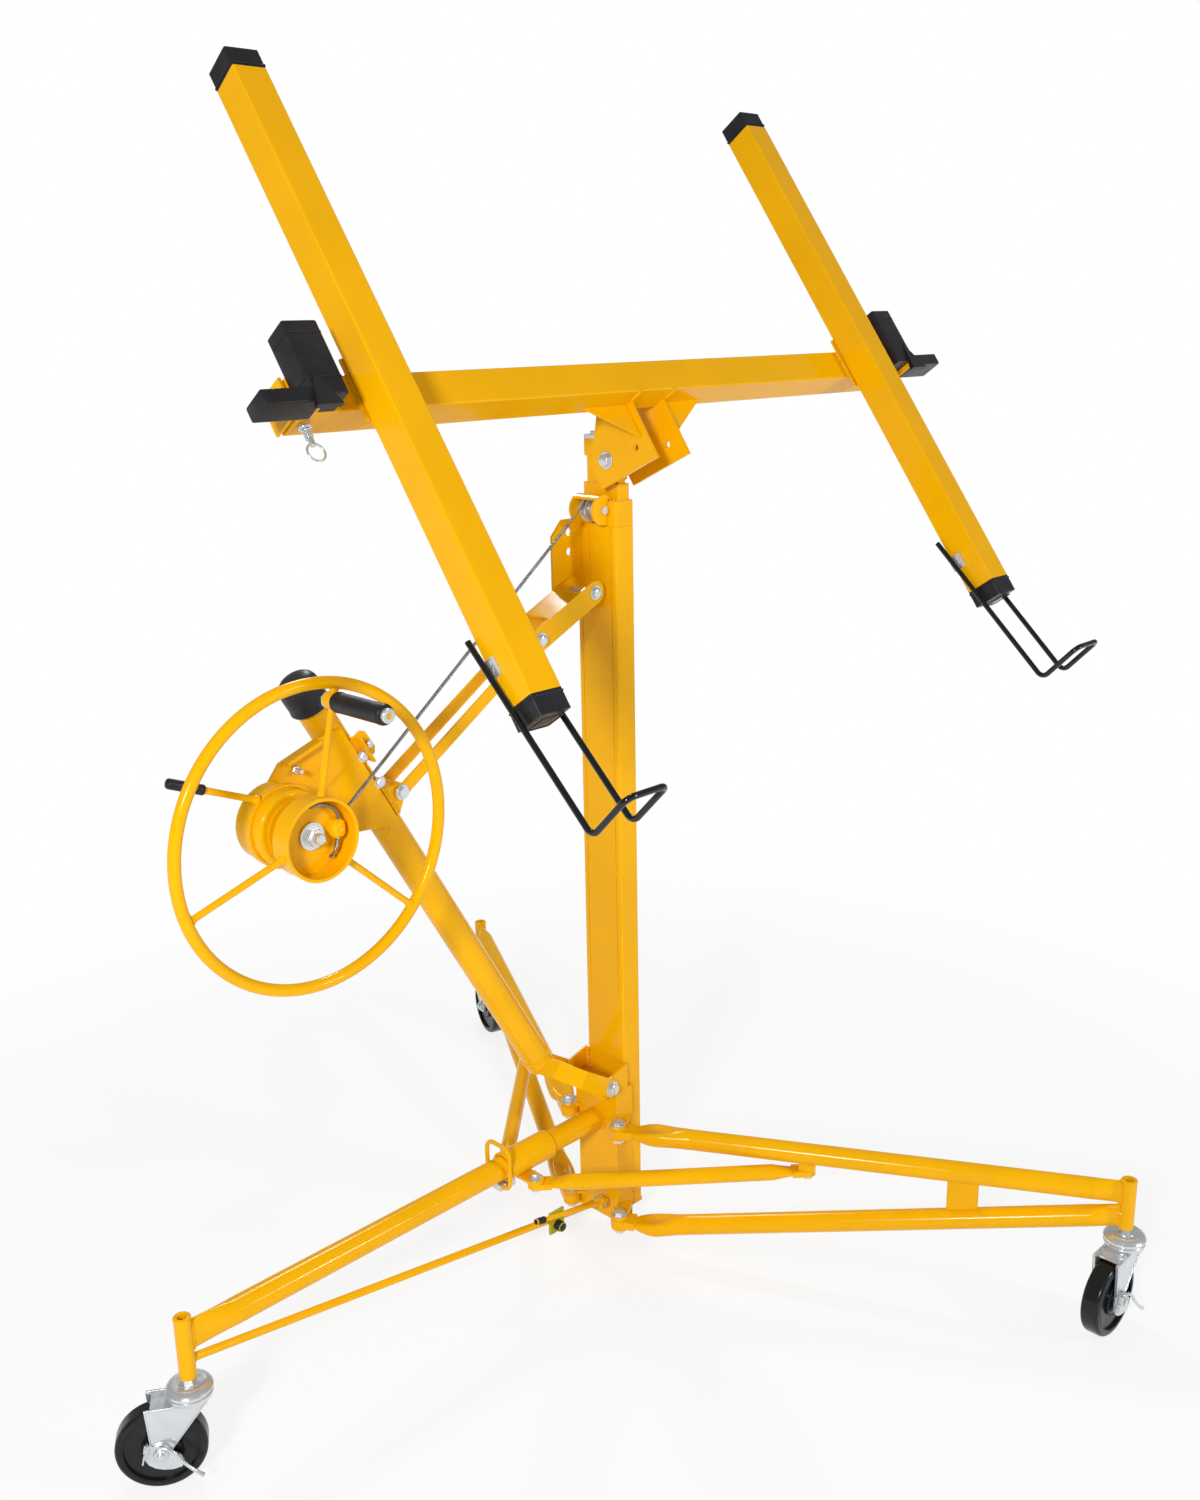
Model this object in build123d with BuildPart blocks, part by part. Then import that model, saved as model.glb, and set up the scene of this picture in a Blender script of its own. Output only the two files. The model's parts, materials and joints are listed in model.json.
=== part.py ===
# Drywall panel hoist: tripod base, telescoping mast, hand winch and tilting cradle.
# Millimetres. +Z is up, the mast stands at the origin and the floor is Z = 0.
# The fixed leg and the winch arm point to -X, and the hand wheel faces -Y.
import os
from math import asin, atan2, cos, degrees, hypot, pi, radians, sin, sqrt, tan

from build123d import *

# Fits and clearances
run_fit = 0.05  # radial clearance of a pin that turns in its hole
pad_fit = 0.08  # clearance of a guide pad on the tube that slides past it
free_gap = 0.4  # gap between bodies that pass each other

# Casters
wheel_d = 125.0
wheel_w = 30.0
caster_trail = 44.0
caster_axle_d = 12.0
caster_height = 163.0  # floor to the foot of the caster post
fork_plate = 3.5
raceway_d = 60.0
stem_len = 60.0
pedal_plate = 3.0
pedal_reach = 46.0
front_heading = 147.0
right_heading = 180.0
left_heading = 250.0

# Legs
leg_tube_d = 34.0
leg_lower_d = 34.0
leg_wall = 2.0
leg_z = 224.0  # axis of the upper leg tubes
leg_low_z = 50.5  # axis of the lower tubes at the hinge
leg_low_post_z = 185.0  # axis of the lower tubes at the caster post
leg_len = 817.0  # hinge to caster post
leg_open = 60.0  # heading of the open legs from +X
leg_eye_r = 15.5
leg_eye_t = 14.0
leg_neck = 28.0  # from the hinge to the end of the flat eye
leg_flat = 62.0  # from the hinge to the widest flat place
leg_flat_half = 20.5
leg_round = 120.0  # from the hinge to the full round tube
post_d = 24.0
post_bore = 13.0
post_top = 246.0
leg_pinch_len = 52.0  # from the post's axis to the full round tube
leg_pinch_t = 15.0
leg_pinch_h = 38.0
web_at = 568.0
web_len = 46.0
web_t = 5.0

# Front leg
front_len = 841.0  # mast axis to the front caster post
front_tube_d = 38.0
front_post_top = 257.0
front_flat_t = 15.0
front_flat_h = 46.0
front_flat_len = 80.0
rod_d = 12.0
rod_low_z = 58.0
rod_high_z = 187.0

# Base column
column_wall = 3.0
column_front = 24.0  # gap from the column's web to the mast
column_back = 12.0  # how far its flanges reach past the mast's front
column_low = 36.0
column_high = 290.0
column_fit = 0.5
floor_plate = 6.0
floor_z = 50.0
strap_t = 3.0
lug_t = 5.0
hinge_x = -54.0
hinge_y = 59.0
hinge_bolt_d = 12.0

# Collar, links and locks
collar_len = 94.0
collar_x = -214.0
collar_wall = 5.0
ear_x = -226.0
ear_y = 38.0
ear_t = 5.0
ear_r = 14.0
link_d = 26.0
link_eye_t = 10.0
link_eye_r = 13.0
link_at = 320.0  # link pivot along the folding leg
link_bolt_d = 10.0
link_drop = 9.0  # from the leg tube to the links' flat ends
bail_d = 7.0
bail_w = 54.0
bail_h = 74.0
clip_w = 20.0
latch_x = -155.0
latch_w = 32.0
latch_h = 40.0
latch_t = 4.0
knob_d = 16.0
knob_len = 14.0
lever_d = 8.0
lever_len = 160.0
lever_rise = 13.0  # degrees
lever_y = -24.0
lever_z = 74.0
lever_tip_d = 11.0
lever_tip_len = 20.0

# Mast
mast_x0 = -20.0  # front face of the outer tube
mast_dx = 40.0
mast_dy = 84.0
mast_wall = 2.5
mast_gap = 1.5  # between nested tubes
cable_space = 8.5  # in front of the middle tube
mast_top = 1275.0
middle_top = 1300.0
inner_top = 1366.0
middle_foot = 6.0  # middle tube above the floor of the outer one
inner_foot = 6.0
guide_h = 30.0
cap_t = 6.0
cap_over = 4.0
anchor_w = 16.0
anchor_h = 20.0
anchor_up = 40.0

# Cable and top pulley
cable_d = 5.0
pulley_groove_r = 14.0
pulley_flange_r = 19.0
pulley_w = 12.0
pulley_hub_d = 16.0
pulley_axle_d = 8.0
pulley_z = 1262.0
guard_w = 52.0
guard_t = 3.0
cheek_t = 4.0
guard_from = 5.0  # degrees about the pulley axle
guard_to = 130.0

# Winch arm and brace
arm_tube_d = 46.0
arm_tube_wall = 2.5
arm_foot = (-173.0, 376.0)  # X and Z of the tube's lower end
arm_angle = 119.9  # of the arm's axis from +X
arm_len = 812.0
arm_cap_d = 55.0
arm_cap_len = 46.0
arm_pivot = (-64.0, 306.0)
tine_t = 6.0
tine_w = 30.0
trough_w = 100.0
trough_t = 4.0
trough_out = 60.0
trough_low = 290.0
trough_high = 334.0  # at the mast
trough_front = 316.0  # at its front wall
lug_back = 217.0  # brace lug from the arm's upper end
lug_off = 36.0
lug_w = 40.0
bracket_y = 28.0
bracket_t = 4.0
bracket_out = 68.0
bracket_low = 1100.0
bracket_high = 1247.0
brace_top = (-52.0, 1139.0)
brace_knee = (-168.0, 1084.0)
brace_wide = 36.0
brace_t = 4.0
bar_wide = 18.0
brace_bolt_d = 10.0

# Winch
winch_back = 96.2  # winch axle from the arm's upper end, along the arm
winch_side = 145.5  # and beside the arm's axis
winch_plate = 5.0
plate_seat = (252.0, 70.0)  # ends of the plate's seat from the arm's upper end
plate_seat_in = 8.0
plate_rise = 41.0  # plate's upper corner above the housing
plate_lean = 80.0  # and beside the winch axle
plate_low_rise = 20.0  # lower end of its folded edge
plate_low_lean = 20.0
plate_inset = 14.0  # hidden corners inside the housing's edge
lip_len = 58.0
lip_deep = 12.0
housing_r = 52.0
housing_deep = 56.0
winch_axle_d = 14.0
drum_r = 32.0
drum_len = 28.0
drum_flange_r = 40.5
drum_flange_t = 2.5
cup_r = 54.0
cup_deep = 30.0
cup_wall = 4.0
winding_turns = 3
winding_pitch = 5.7
rim_r = 197.0
rim_d = 16.0
spoke_d = 9.0
spoke_first = 77.0
spinner_at = 174.0
grip_d = 26.0
grip_len = 100.0
grip_bolt_d = 9.0
band_w = 12.0
band_t = 3.0
brake_root = 129.0  # place of the rod's root on the band
brake_angle = 157.3  # heading of the rod
brake_rod_d = 9.0
brake_len = 130.0
brake_grip_d = 13.0
brake_grip_len = 48.0

# Cradle
tilt_rest = 54.7  # degrees from level
tilt_y = -38.0
tilt_z = 1338.0
tilt_bolt_d = 12.0
head_lug_r = 20.0
head_gap = 64.0  # between the head plates
head_t = 5.0
gusset_t = 4.0
gusset_out = 88.0
gusset_down = 55.0
bar_sq = 50.0
bar_wall = 2.5
bar_half = 620.0
bar_up = 67.0  # crossbar from the tilt axis, along the arms
bar_out = 94.0  # crossbar from the tilt axis, towards the panel
seat_t = 4.0
seat_len = 90.0
arm_inset = 115.0  # from the crossbar's end to the middle of an arm
arm_sq = 50.0
arm_up = 470.0
arm_down = 470.0
plug_len = 28.0  # black head of an end plug
plug_in = 20.0
plug_proud = 3.0
hook_pivot_up = 78.0  # above the arm's lower end
hook_pivot_in = 6.0  # from the arm's rear face
hook_d = 8.0
hook_pin_d = 6.4
hook_side = 33.0
hook_seat_down = 156.0
hook_tail = 44.0
hook_prong = 78.0
hook_prong_up = 15.0
hook_bend = 12.0
clip_plate = 3.0
clip_sq = 24.0

# Outriggers and their lock pins
slide_sq = 44.2
slide_len = 330.0
slide_out = 6.0
pad_inset = 22.5  # middle of the pad from the crossbar's end
pad_w = 47.0
pad_up = 75.0
pad_deep = 38.0
pad_end_t = 4.0
stub_h = 18.0
stub_out = 65.0
stub_drop = 25.0
pin_in = 16.0  # from the crossbar's end
pin_d = 8.0
pin_len = 30.0
ring_r = 12.0
ring_d = 3.0


def along(start, angle, distance, sideways=0.0):
    """Point in an upright plane, from a start (a, b), an angle and two distances."""
    c, s = cos(radians(angle)), sin(radians(angle))
    return (start[0] + distance * c - sideways * s, start[1] + distance * s + sideways * c)


def bar(start, end, dia, mode=Mode.ADD):
    """Round bar between two points, in the part being built."""
    start, end = Vector(*start), Vector(*end)
    with BuildSketch(Plane(origin=start, z_dir=end - start)) as disc:
        Circle(dia / 2)
    extrude(disc.sketch, amount=(end - start).length, mode=mode)


def hex_bolt(start, end, dia):
    """Bolt with a hex head beyond its start and a hex nut beyond its end."""
    start, end = Vector(*start), Vector(*end)
    way = (end - start).normalized()
    head = 0.6 * dia
    bar(start - way * (head / 2), end + way * (head / 2), dia)
    for seat, z_dir in ((start, way * -1), (end, way)):
        with BuildSketch(Plane(origin=seat, z_dir=z_dir)) as hexagon:
            RegularPolygon(0.85 * dia, 6)
        extrude(hexagon.sketch, amount=head)


def block(low, high, mode=Mode.ADD):
    """Box between two corners."""
    middle = tuple((a + b) / 2 for a, b in zip(low, high))
    with Locations(middle):
        Box(*[abs(b - a) for a, b in zip(low, high)], mode=mode)


def biarc(start, start_way, end, end_way):
    """Two arcs that leave one point and reach another with the given directions."""
    chord = end - start
    a = 2 * (1 - start_way.dot(end_way))
    b = chord.dot(start_way + end_way)
    c = chord.dot(chord)
    reach = c / (2 * b) if a < 1e-9 else (sqrt(b * b + a * c) - b) / a
    joint = (start + end + (start_way - end_way) * reach) * 0.5
    TangentArc(start, joint, tangent=start_way)
    TangentArc(joint, end, tangent=chord - (start_way + end_way) * reach)


def bent_wire(points, dia, bend):
    """Round wire through points, with every corner bent to one radius."""
    points = [Vector(*p) for p in points]
    with BuildLine() as path:
        here = points[0]
        for before, corner, after in zip(points, points[1:], points[2:]):
            back = (before - corner).normalized()
            on = (after - corner).normalized()
            half = radians(back.get_angle(on)) / 2
            cut = bend / tan(half)
            middle = corner + (back + on).normalized() * (bend / sin(half) - bend)
            Line(here, corner + back * cut)
            ThreePointArc(corner + back * cut, middle, corner + on * cut)
            here = corner + on * cut
        Line(here, points[-1])
    with BuildSketch(Plane(origin=points[0], z_dir=points[1] - points[0])) as disc:
        Circle(dia / 2)
    sweep(disc.sketch, path=path.wires()[0])


# Places that several sub-parts share
middle_x0 = mast_x0 + mast_wall + cable_space
middle_x1 = mast_x0 + mast_dx - mast_wall - mast_gap
middle_dy = mast_dy - 2 * (mast_wall + mast_gap)
inner_x0 = middle_x0 + mast_wall + mast_gap
inner_x1 = middle_x1 - mast_wall - mast_gap
inner_dy = middle_dy - 2 * (mast_wall + mast_gap)
inner_mid_x = (inner_x0 + inner_x1) / 2
mast_foot = floor_z + floor_plate
middle_low = mast_foot + middle_foot
inner_low = middle_low + inner_foot
column_x0 = mast_x0 - column_front
column_dy = mast_dy + 2 * (column_fit + column_wall)
cable_x = (mast_x0 + mast_wall + middle_x0) / 2
pulley_wrap_r = pulley_groove_r + cable_d / 2
pulley_x = cable_x - pulley_wrap_r
winch_x, winch_z = along(arm_foot, arm_angle, arm_len - winch_back, winch_side)
winch_plate_y = -arm_tube_d / 2 + 0.5
housing_back = winch_plate_y - winch_plate
housing_front = housing_back - housing_deep
drum_back = housing_front - free_gap
drum_front = drum_back - drum_flange_t - drum_len
cup_front = drum_front - cup_deep
wheel_y = drum_front - cup_deep / 2
winding_r = drum_r + cable_d / 2 + 0.1
WINCH = Plane(origin=(winch_x, 0, winch_z), x_dir=(1, 0, 0), z_dir=(0, -1, 0))
UPRIGHT = Plane(origin=(0, 0, 0), x_dir=(1, 0, 0), z_dir=(0, -1, 0))
CRADLE = Plane(
    origin=(0, tilt_y, tilt_z),
    x_dir=(1, 0, 0),
    z_dir=(0, -sin(radians(tilt_rest)), cos(radians(tilt_rest))),
)
arm_at = bar_half - arm_inset
arm_out = bar_out + bar_sq / 2 + seat_t + arm_sq / 2
arm_low = bar_up - arm_down
arm_high = bar_up + arm_up


def leg_plane(side):
    """Frame of a folding leg: origin at its hinge, X along the leg. side is -1 or 1 in Y."""
    way = (cos(radians(leg_open)), side * sin(radians(leg_open)), 0)
    return Plane(origin=(hinge_x, side * hinge_y, 0), x_dir=way, z_dir=(0, 0, 1))


def caster_plane(post, heading):
    """Frame of a caster: origin at the foot of its post, X towards the wheel."""
    way = (cos(radians(heading)), sin(radians(heading)), 0)
    return Plane(origin=(post.X, post.Y, caster_height), x_dir=way, z_dir=(0, 0, 1))


# Base column: channel round the mast's foot, strap, floor plate and hinge lugs
with BuildPart() as base_column:
    column_x1 = mast_x0 + column_back
    inside = column_dy / 2 - column_wall
    strap_low = leg_z + leg_eye_t / 2 + 0.3 + lug_t / 2
    block((column_x0, -column_dy / 2, column_low), (column_x1, column_dy / 2, column_high))
    block((column_x0 - strap_t, -column_dy / 2 - strap_t, strap_low),
          (column_x1, column_dy / 2 + strap_t, column_high - 1))
    block((column_x0 + column_wall, -inside, column_low - 1),
          (column_x1 + 1, inside, column_high + 1), mode=Mode.SUBTRACT)
    block((column_x0 + column_wall, -inside, floor_z), (mast_x0 + mast_dx, inside, mast_foot))
    for z_mid in (leg_z, leg_low_z):
        for z_low in (z_mid - leg_eye_t / 2 - 0.3 - lug_t, z_mid + leg_eye_t / 2 + 0.3):
            for side in (-1, 1):
                with BuildSketch(Plane.XY.offset(z_low)):
                    with Locations((hinge_x, side * hinge_y)):
                        Circle(leg_eye_r - 1)
                    with BuildLine():
                        Polyline(
                            (hinge_x - leg_eye_r + 1, side * hinge_y),
                            (column_x0 + 1, side * (column_dy / 2 - 12)),
                            (column_x0 + 1, side * (column_dy / 2 - 1)),
                            (column_x1 - 2, side * (column_dy / 2 - 1)),
                            (column_x1 - 2, side * (column_dy / 2 + 2)),
                            (hinge_x + 6, side * (hinge_y + leg_eye_r - 2)),
                            close=True,
                        )
                    make_face()
                    with Locations((hinge_x, side * hinge_y)):
                        Circle(hinge_bolt_d / 2, mode=Mode.SUBTRACT)
                extrude(amount=lug_t)
    base_column.part.label = "base_column"

# Outer mast tube, with a slot at its top for the pulley and a clear way for the cable
with BuildPart() as mast_outer:
    block((mast_x0, -mast_dy / 2, mast_foot), (mast_x0 + mast_dx, mast_dy / 2, mast_top))
    fillet(mast_outer.edges().filter_by(Axis.Z), mast_wall * 1.4)
    block((mast_x0 + mast_wall, -mast_dy / 2 + mast_wall, mast_foot - 1),
          (mast_x0 + mast_dx - mast_wall, mast_dy / 2 - mast_wall, mast_top + 1),
          mode=Mode.SUBTRACT)
    slot_half = pulley_w / 2 + 3
    block((mast_x0 - 1, -slot_half, pulley_z - pulley_flange_r - 4),
          (mast_x0 + mast_wall + 1, slot_half, mast_top + 1), mode=Mode.SUBTRACT)
    mast_outer.part.label = "mast_outer"

# Middle and inner mast tubes
with BuildPart() as mast_middle:
    block((middle_x0, -middle_dy / 2, middle_low), (middle_x1, middle_dy / 2, middle_top))
    fillet(mast_middle.edges().filter_by(Axis.Z), mast_wall * 1.2)
    block((middle_x0 + mast_wall, -middle_dy / 2 + mast_wall, middle_low - 1),
          (middle_x1 - mast_wall, middle_dy / 2 - mast_wall, middle_top + 1), mode=Mode.SUBTRACT)
    anchor_low = middle_low + anchor_up
    block((mast_x0 + mast_wall + free_gap, -anchor_w / 2, anchor_low),
          (middle_x0 + 1, anchor_w / 2, anchor_low + anchor_h))
    with Locations((cable_x, 0, anchor_low + anchor_h / 2)):
        Cylinder(cable_d / 2 + free_gap, anchor_h + 2, mode=Mode.SUBTRACT)
    mast_middle.part.label = "mast_middle"

with BuildPart() as mast_inner:
    block((inner_x0, -inner_dy / 2, inner_low), (inner_x1, inner_dy / 2, inner_top))
    fillet(mast_inner.edges().filter_by(Axis.Z), mast_wall * 1.2)
    block((inner_x0 + mast_wall, -inner_dy / 2 + mast_wall, inner_low - 1),
          (inner_x1 - mast_wall, inner_dy / 2 - mast_wall, inner_top + 1), mode=Mode.SUBTRACT)
    # Head lug with the tilt bolt's hole
    with BuildSketch(Plane.YZ.offset(inner_x0)):
        with Locations((tilt_y, tilt_z)):
            Circle(head_lug_r)
        with BuildLine():
            Polyline(
                (tilt_y, tilt_z - head_lug_r), (-inner_dy / 2 + 1, tilt_z - head_lug_r - 14),
                (-inner_dy / 2 + 1, inner_top), (tilt_y - 4, inner_top),
                (tilt_y - head_lug_r, tilt_z), close=True,
            )
        make_face()
        with Locations((tilt_y, tilt_z)):
            Circle(tilt_bolt_d / 2, mode=Mode.SUBTRACT)
    extrude(amount=inner_x1 - inner_x0)
    bar((inner_x0 - 1, tilt_y, tilt_z), (inner_x1 + 1, tilt_y, tilt_z), tilt_bolt_d, Mode.SUBTRACT)
    # Collar band round the tube's head
    band_from = tilt_y + tilt_bolt_d / 2 + 9
    block((inner_x0 - 2, band_from, inner_top - 26), (inner_x0 + 1, inner_dy / 2 + 2, inner_top))
    block((inner_x0 - 2, inner_dy / 2 - 1, inner_top - 26), (inner_x1, inner_dy / 2 + 2, inner_top))
    mast_inner.part.label = "mast_inner"


def guide_pads(outer_x0, outer_x1, outer_half, inner_0, inner_1, inner_half, z_low, inside):
    """Pads in the gap of two nested tubes. inside says which tube carries them."""
    slack_out = 0 if inside else pad_fit
    slack_in = pad_fit if inside else 0
    half = inner_half * 0.45
    x_mid = (inner_0 + inner_1) / 2
    x_half = (inner_1 - inner_0) * 0.38
    for side in (-1, 1):
        block((x_mid - x_half, side * (inner_half + slack_in), z_low),
              (x_mid + x_half, side * (outer_half - slack_out), z_low + guide_h))
        block((inner_1 + slack_in, side * half - 6, z_low),
              (outer_x1 - slack_out, side * half + 6, z_low + guide_h))
        block((outer_x0 + slack_out, side * (half + 6) - 6, z_low),
              (inner_0 - slack_in, side * (half + 6) + 6, z_low + guide_h))


outer_hollow = (mast_x0 + mast_wall, mast_x0 + mast_dx - mast_wall, mast_dy / 2 - mast_wall)
middle_skin = (middle_x0, middle_x1, middle_dy / 2)
middle_hollow = (middle_x0 + mast_wall, middle_x1 - mast_wall, middle_dy / 2 - mast_wall)
inner_skin = (inner_x0, inner_x1, inner_dy / 2)
with BuildPart() as outer_guides:
    guide_pads(*outer_hollow, *middle_skin, mast_top - guide_h, inside=True)
    outer_guides.part.label = "outer_guides"
with BuildPart() as middle_guides:
    guide_pads(*middle_hollow, *inner_skin, middle_top - guide_h, inside=True)
    guide_pads(*outer_hollow, *middle_skin, middle_low + 4, inside=False)
    middle_guides.part.label = "middle_guides"
with BuildPart() as inner_guides:
    guide_pads(*middle_hollow, *inner_skin, inner_low + 4, inside=False)
    inner_guides.part.label = "inner_guides"

# Zinc cap plate on the inner tube, and the tilt bolt with its spacers
with BuildPart() as head_cap:
    block((inner_x0 - cap_over, -inner_dy / 2 - cap_over, inner_top),
          (inner_x1 + cap_over, inner_dy / 2 + cap_over, inner_top + cap_t))
    fillet(head_cap.edges().filter_by(Axis.Z), cap_over * 1.5)
    head_cap.part.label = "head_cap"
head_x0 = inner_mid_x - head_gap / 2
head_x1 = inner_mid_x + head_gap / 2
with BuildPart() as tilt_bolt:
    washer = head_t + free_gap
    hex_bolt((head_x0 - washer, tilt_y, tilt_z), (head_x1 + washer, tilt_y, tilt_z), tilt_bolt_d)
    bar((head_x0 + free_gap, tilt_y, tilt_z), (inner_x0, tilt_y, tilt_z), tilt_bolt_d + 10)
    bar((inner_x1, tilt_y, tilt_z), (head_x1 - free_gap, tilt_y, tilt_z), tilt_bolt_d + 10)
    tilt_bolt.part.label = "tilt_bolt"

# Fixed front leg: round tube, flattened outer end and caster post
with BuildPart() as front_leg:
    flat_x = -front_len + front_flat_len
    bar((column_x0, 0, leg_z), (flat_x, 0, leg_z), front_tube_d)
    with BuildSketch(Plane(origin=(flat_x, 0, leg_z), x_dir=(0, 1, 0), z_dir=(-1, 0, 0))):
        Circle(front_tube_d / 2)
    with BuildSketch(Plane(origin=(-front_len + 28, 0, leg_z), x_dir=(0, 1, 0), z_dir=(-1, 0, 0))):
        Ellipse(front_flat_t / 2, front_flat_h / 2)
    loft()
    with BuildSketch(Plane(origin=(-front_len + 28, 0, leg_z), x_dir=(0, 1, 0), z_dir=(-1, 0, 0))):
        Ellipse(front_flat_t / 2, front_flat_h / 2)
    extrude(amount=28)
    bar((-front_len, 0, caster_height), (-front_len, 0, front_post_top), post_d)
    bar((column_x0 - 40, 0, leg_z), (flat_x, 0, leg_z), front_tube_d - 2 * leg_wall, Mode.SUBTRACT)
    bar((-front_len, 0, caster_height - 1), (-front_len, 0, front_post_top + 1), post_bore,
        Mode.SUBTRACT)
    front_leg.part.label = "front_leg"

with BuildPart() as front_rod:
    rod_end = -front_len + post_d / 2 - 0.5
    bar((column_x0 + 0.2, 0, rod_low_z), (rod_end, 0, rod_high_z), rod_d)
    front_rod.part.label = "front_rod"


def rod_height(x):
    """Height of the truss rod's axis at x."""
    return rod_low_z + (rod_high_z - rod_low_z) * (column_x0 - x) / (column_x0 - rod_end)


def upper_leg(side):
    """Upper tube of a folding leg with its hinge eye, caster post, web plate and link lug."""
    frame = leg_plane(side)
    with BuildPart(frame) as leg:
        with BuildSketch(frame.offset(leg_z - leg_eye_t / 2)):
            Circle(leg_eye_r)
            with Locations((leg_neck / 2, 0)):
                Rectangle(leg_neck, 2 * leg_eye_r)
        extrude(amount=leg_eye_t)
        tube_frame = Plane(
            origin=frame.from_local_coords((leg_neck, 0, leg_z)),
            x_dir=frame.y_dir, z_dir=frame.x_dir,
        )
        with BuildSketch(tube_frame):
            Ellipse(leg_eye_r, leg_eye_t / 2)
        with BuildSketch(tube_frame.offset(leg_flat - leg_neck)):
            Ellipse(leg_flat_half, leg_eye_t / 2 + 1)
        with BuildSketch(tube_frame.offset(leg_round - leg_neck)):
            Circle(leg_tube_d / 2)
        loft()
        with BuildSketch(tube_frame.offset(leg_round - leg_neck)):
            Circle(leg_tube_d / 2)
        extrude(amount=leg_len - leg_round - leg_pinch_len)
        with BuildSketch(tube_frame.offset(leg_len - leg_pinch_len - leg_neck)):
            Circle(leg_tube_d / 2)
        with BuildSketch(tube_frame.offset(leg_len - post_d - leg_neck)):
            Ellipse(leg_pinch_t / 2, leg_pinch_h / 2)
        loft()
        with BuildSketch(tube_frame.offset(leg_len - post_d - leg_neck)):
            Ellipse(leg_pinch_t / 2, leg_pinch_h / 2)
        extrude(amount=post_d)
        with Locations((leg_len, 0, (caster_height + post_top) / 2)):
            Cylinder(post_d / 2, post_top - caster_height)
        low_at_web = leg_low_z + (leg_low_post_z - leg_low_z) * web_at / leg_len
        block((web_at - web_len / 2, -web_t / 2, low_at_web), (web_at + web_len / 2, web_t / 2, leg_z))
        block((link_at - link_eye_r, -link_eye_r, link_top + 0.3),
              (link_at + link_eye_r, link_eye_r, leg_z - 6))
        with BuildSketch(tube_frame.offset(leg_round - leg_neck)):
            Circle(leg_tube_d / 2 - leg_wall)
        extrude(amount=leg_len - leg_round - leg_pinch_len, mode=Mode.SUBTRACT)
        with Locations((leg_len, 0, (caster_height + post_top) / 2)):
            Cylinder(post_bore / 2, post_top - caster_height + 2, mode=Mode.SUBTRACT)
        with Locations((0, 0, leg_z)):
            Cylinder(hinge_bolt_d / 2 + run_fit, leg_eye_t + 2, mode=Mode.SUBTRACT)
    return leg.part


def lower_leg(side):
    """Lower tube of a folding leg, from its hinge eye up to the caster post."""
    frame = leg_plane(side)
    slope = atan2(leg_low_post_z - leg_low_z, leg_len - leg_flat)
    round_z = leg_low_z + (leg_round - leg_flat) * tan(slope)
    way = Vector(*frame.x_dir) * cos(slope) + Vector(0, 0, sin(slope))
    with BuildPart(frame) as leg:
        with BuildSketch(frame.offset(leg_low_z - leg_eye_t / 2)):
            Circle(leg_eye_r)
            with Locations((leg_neck / 2, 0)):
                Rectangle(leg_neck, 2 * leg_eye_r)
        extrude(amount=leg_eye_t)
        start = Plane(
            origin=frame.from_local_coords((leg_neck, 0, leg_low_z)),
            x_dir=frame.y_dir, z_dir=frame.x_dir,
        )
        tube = Plane(
            origin=frame.from_local_coords((leg_round, 0, round_z)),
            x_dir=frame.y_dir, z_dir=way,
        )
        with BuildSketch(start):
            Ellipse(leg_eye_r, leg_eye_t / 2)
        with BuildSketch(start.offset(leg_flat - leg_neck)):
            Ellipse(leg_flat_half, leg_eye_t / 2 + 1)
        with BuildSketch(tube):
            Circle(leg_lower_d / 2)
        loft()
        tube_len = (leg_len - leg_round - leg_pinch_len) / cos(slope)
        pinch_end = (leg_len - leg_round - post_d) / cos(slope)
        with BuildSketch(tube):
            Circle(leg_lower_d / 2)
        extrude(amount=tube_len)
        with BuildSketch(tube.offset(tube_len)):
            Circle(leg_lower_d / 2)
        with BuildSketch(tube.offset(pinch_end)):
            Ellipse(leg_pinch_t / 2, leg_pinch_h / 2)
        loft()
        with BuildSketch(tube.offset(pinch_end)):
            Ellipse(leg_pinch_t / 2, leg_pinch_h / 2)
        extrude(amount=post_d)
        with BuildSketch(tube):
            Circle(leg_lower_d / 2 - leg_wall)
        extrude(amount=tube_len, mode=Mode.SUBTRACT)
        with Locations((leg_len, 0, leg_low_post_z)):
            Cylinder(post_d / 2, 6 * leg_lower_d, mode=Mode.SUBTRACT)
        with Locations((leg_len + leg_lower_d, 0, leg_low_post_z)):
            Box(2 * leg_lower_d, 4 * leg_lower_d, 4 * leg_lower_d, mode=Mode.SUBTRACT)
        with Locations((0, 0, leg_low_z)):
            Cylinder(hinge_bolt_d / 2 + run_fit, leg_eye_t + 2, mode=Mode.SUBTRACT)
    return leg.part


link_top = leg_z - leg_tube_d / 2 - link_drop  # upper face of the links' flat ends
link_z = link_top - link_eye_t / 2
leg_upper_right = upper_leg(-1)
leg_upper_right.label = "leg_upper_right"
leg_lower_right = lower_leg(-1)
leg_lower_right.label = "leg_lower_right"
leg_upper_left = upper_leg(1)
leg_upper_left.label = "leg_upper_left"
leg_lower_left = lower_leg(1)
leg_lower_left.label = "leg_lower_left"

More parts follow.
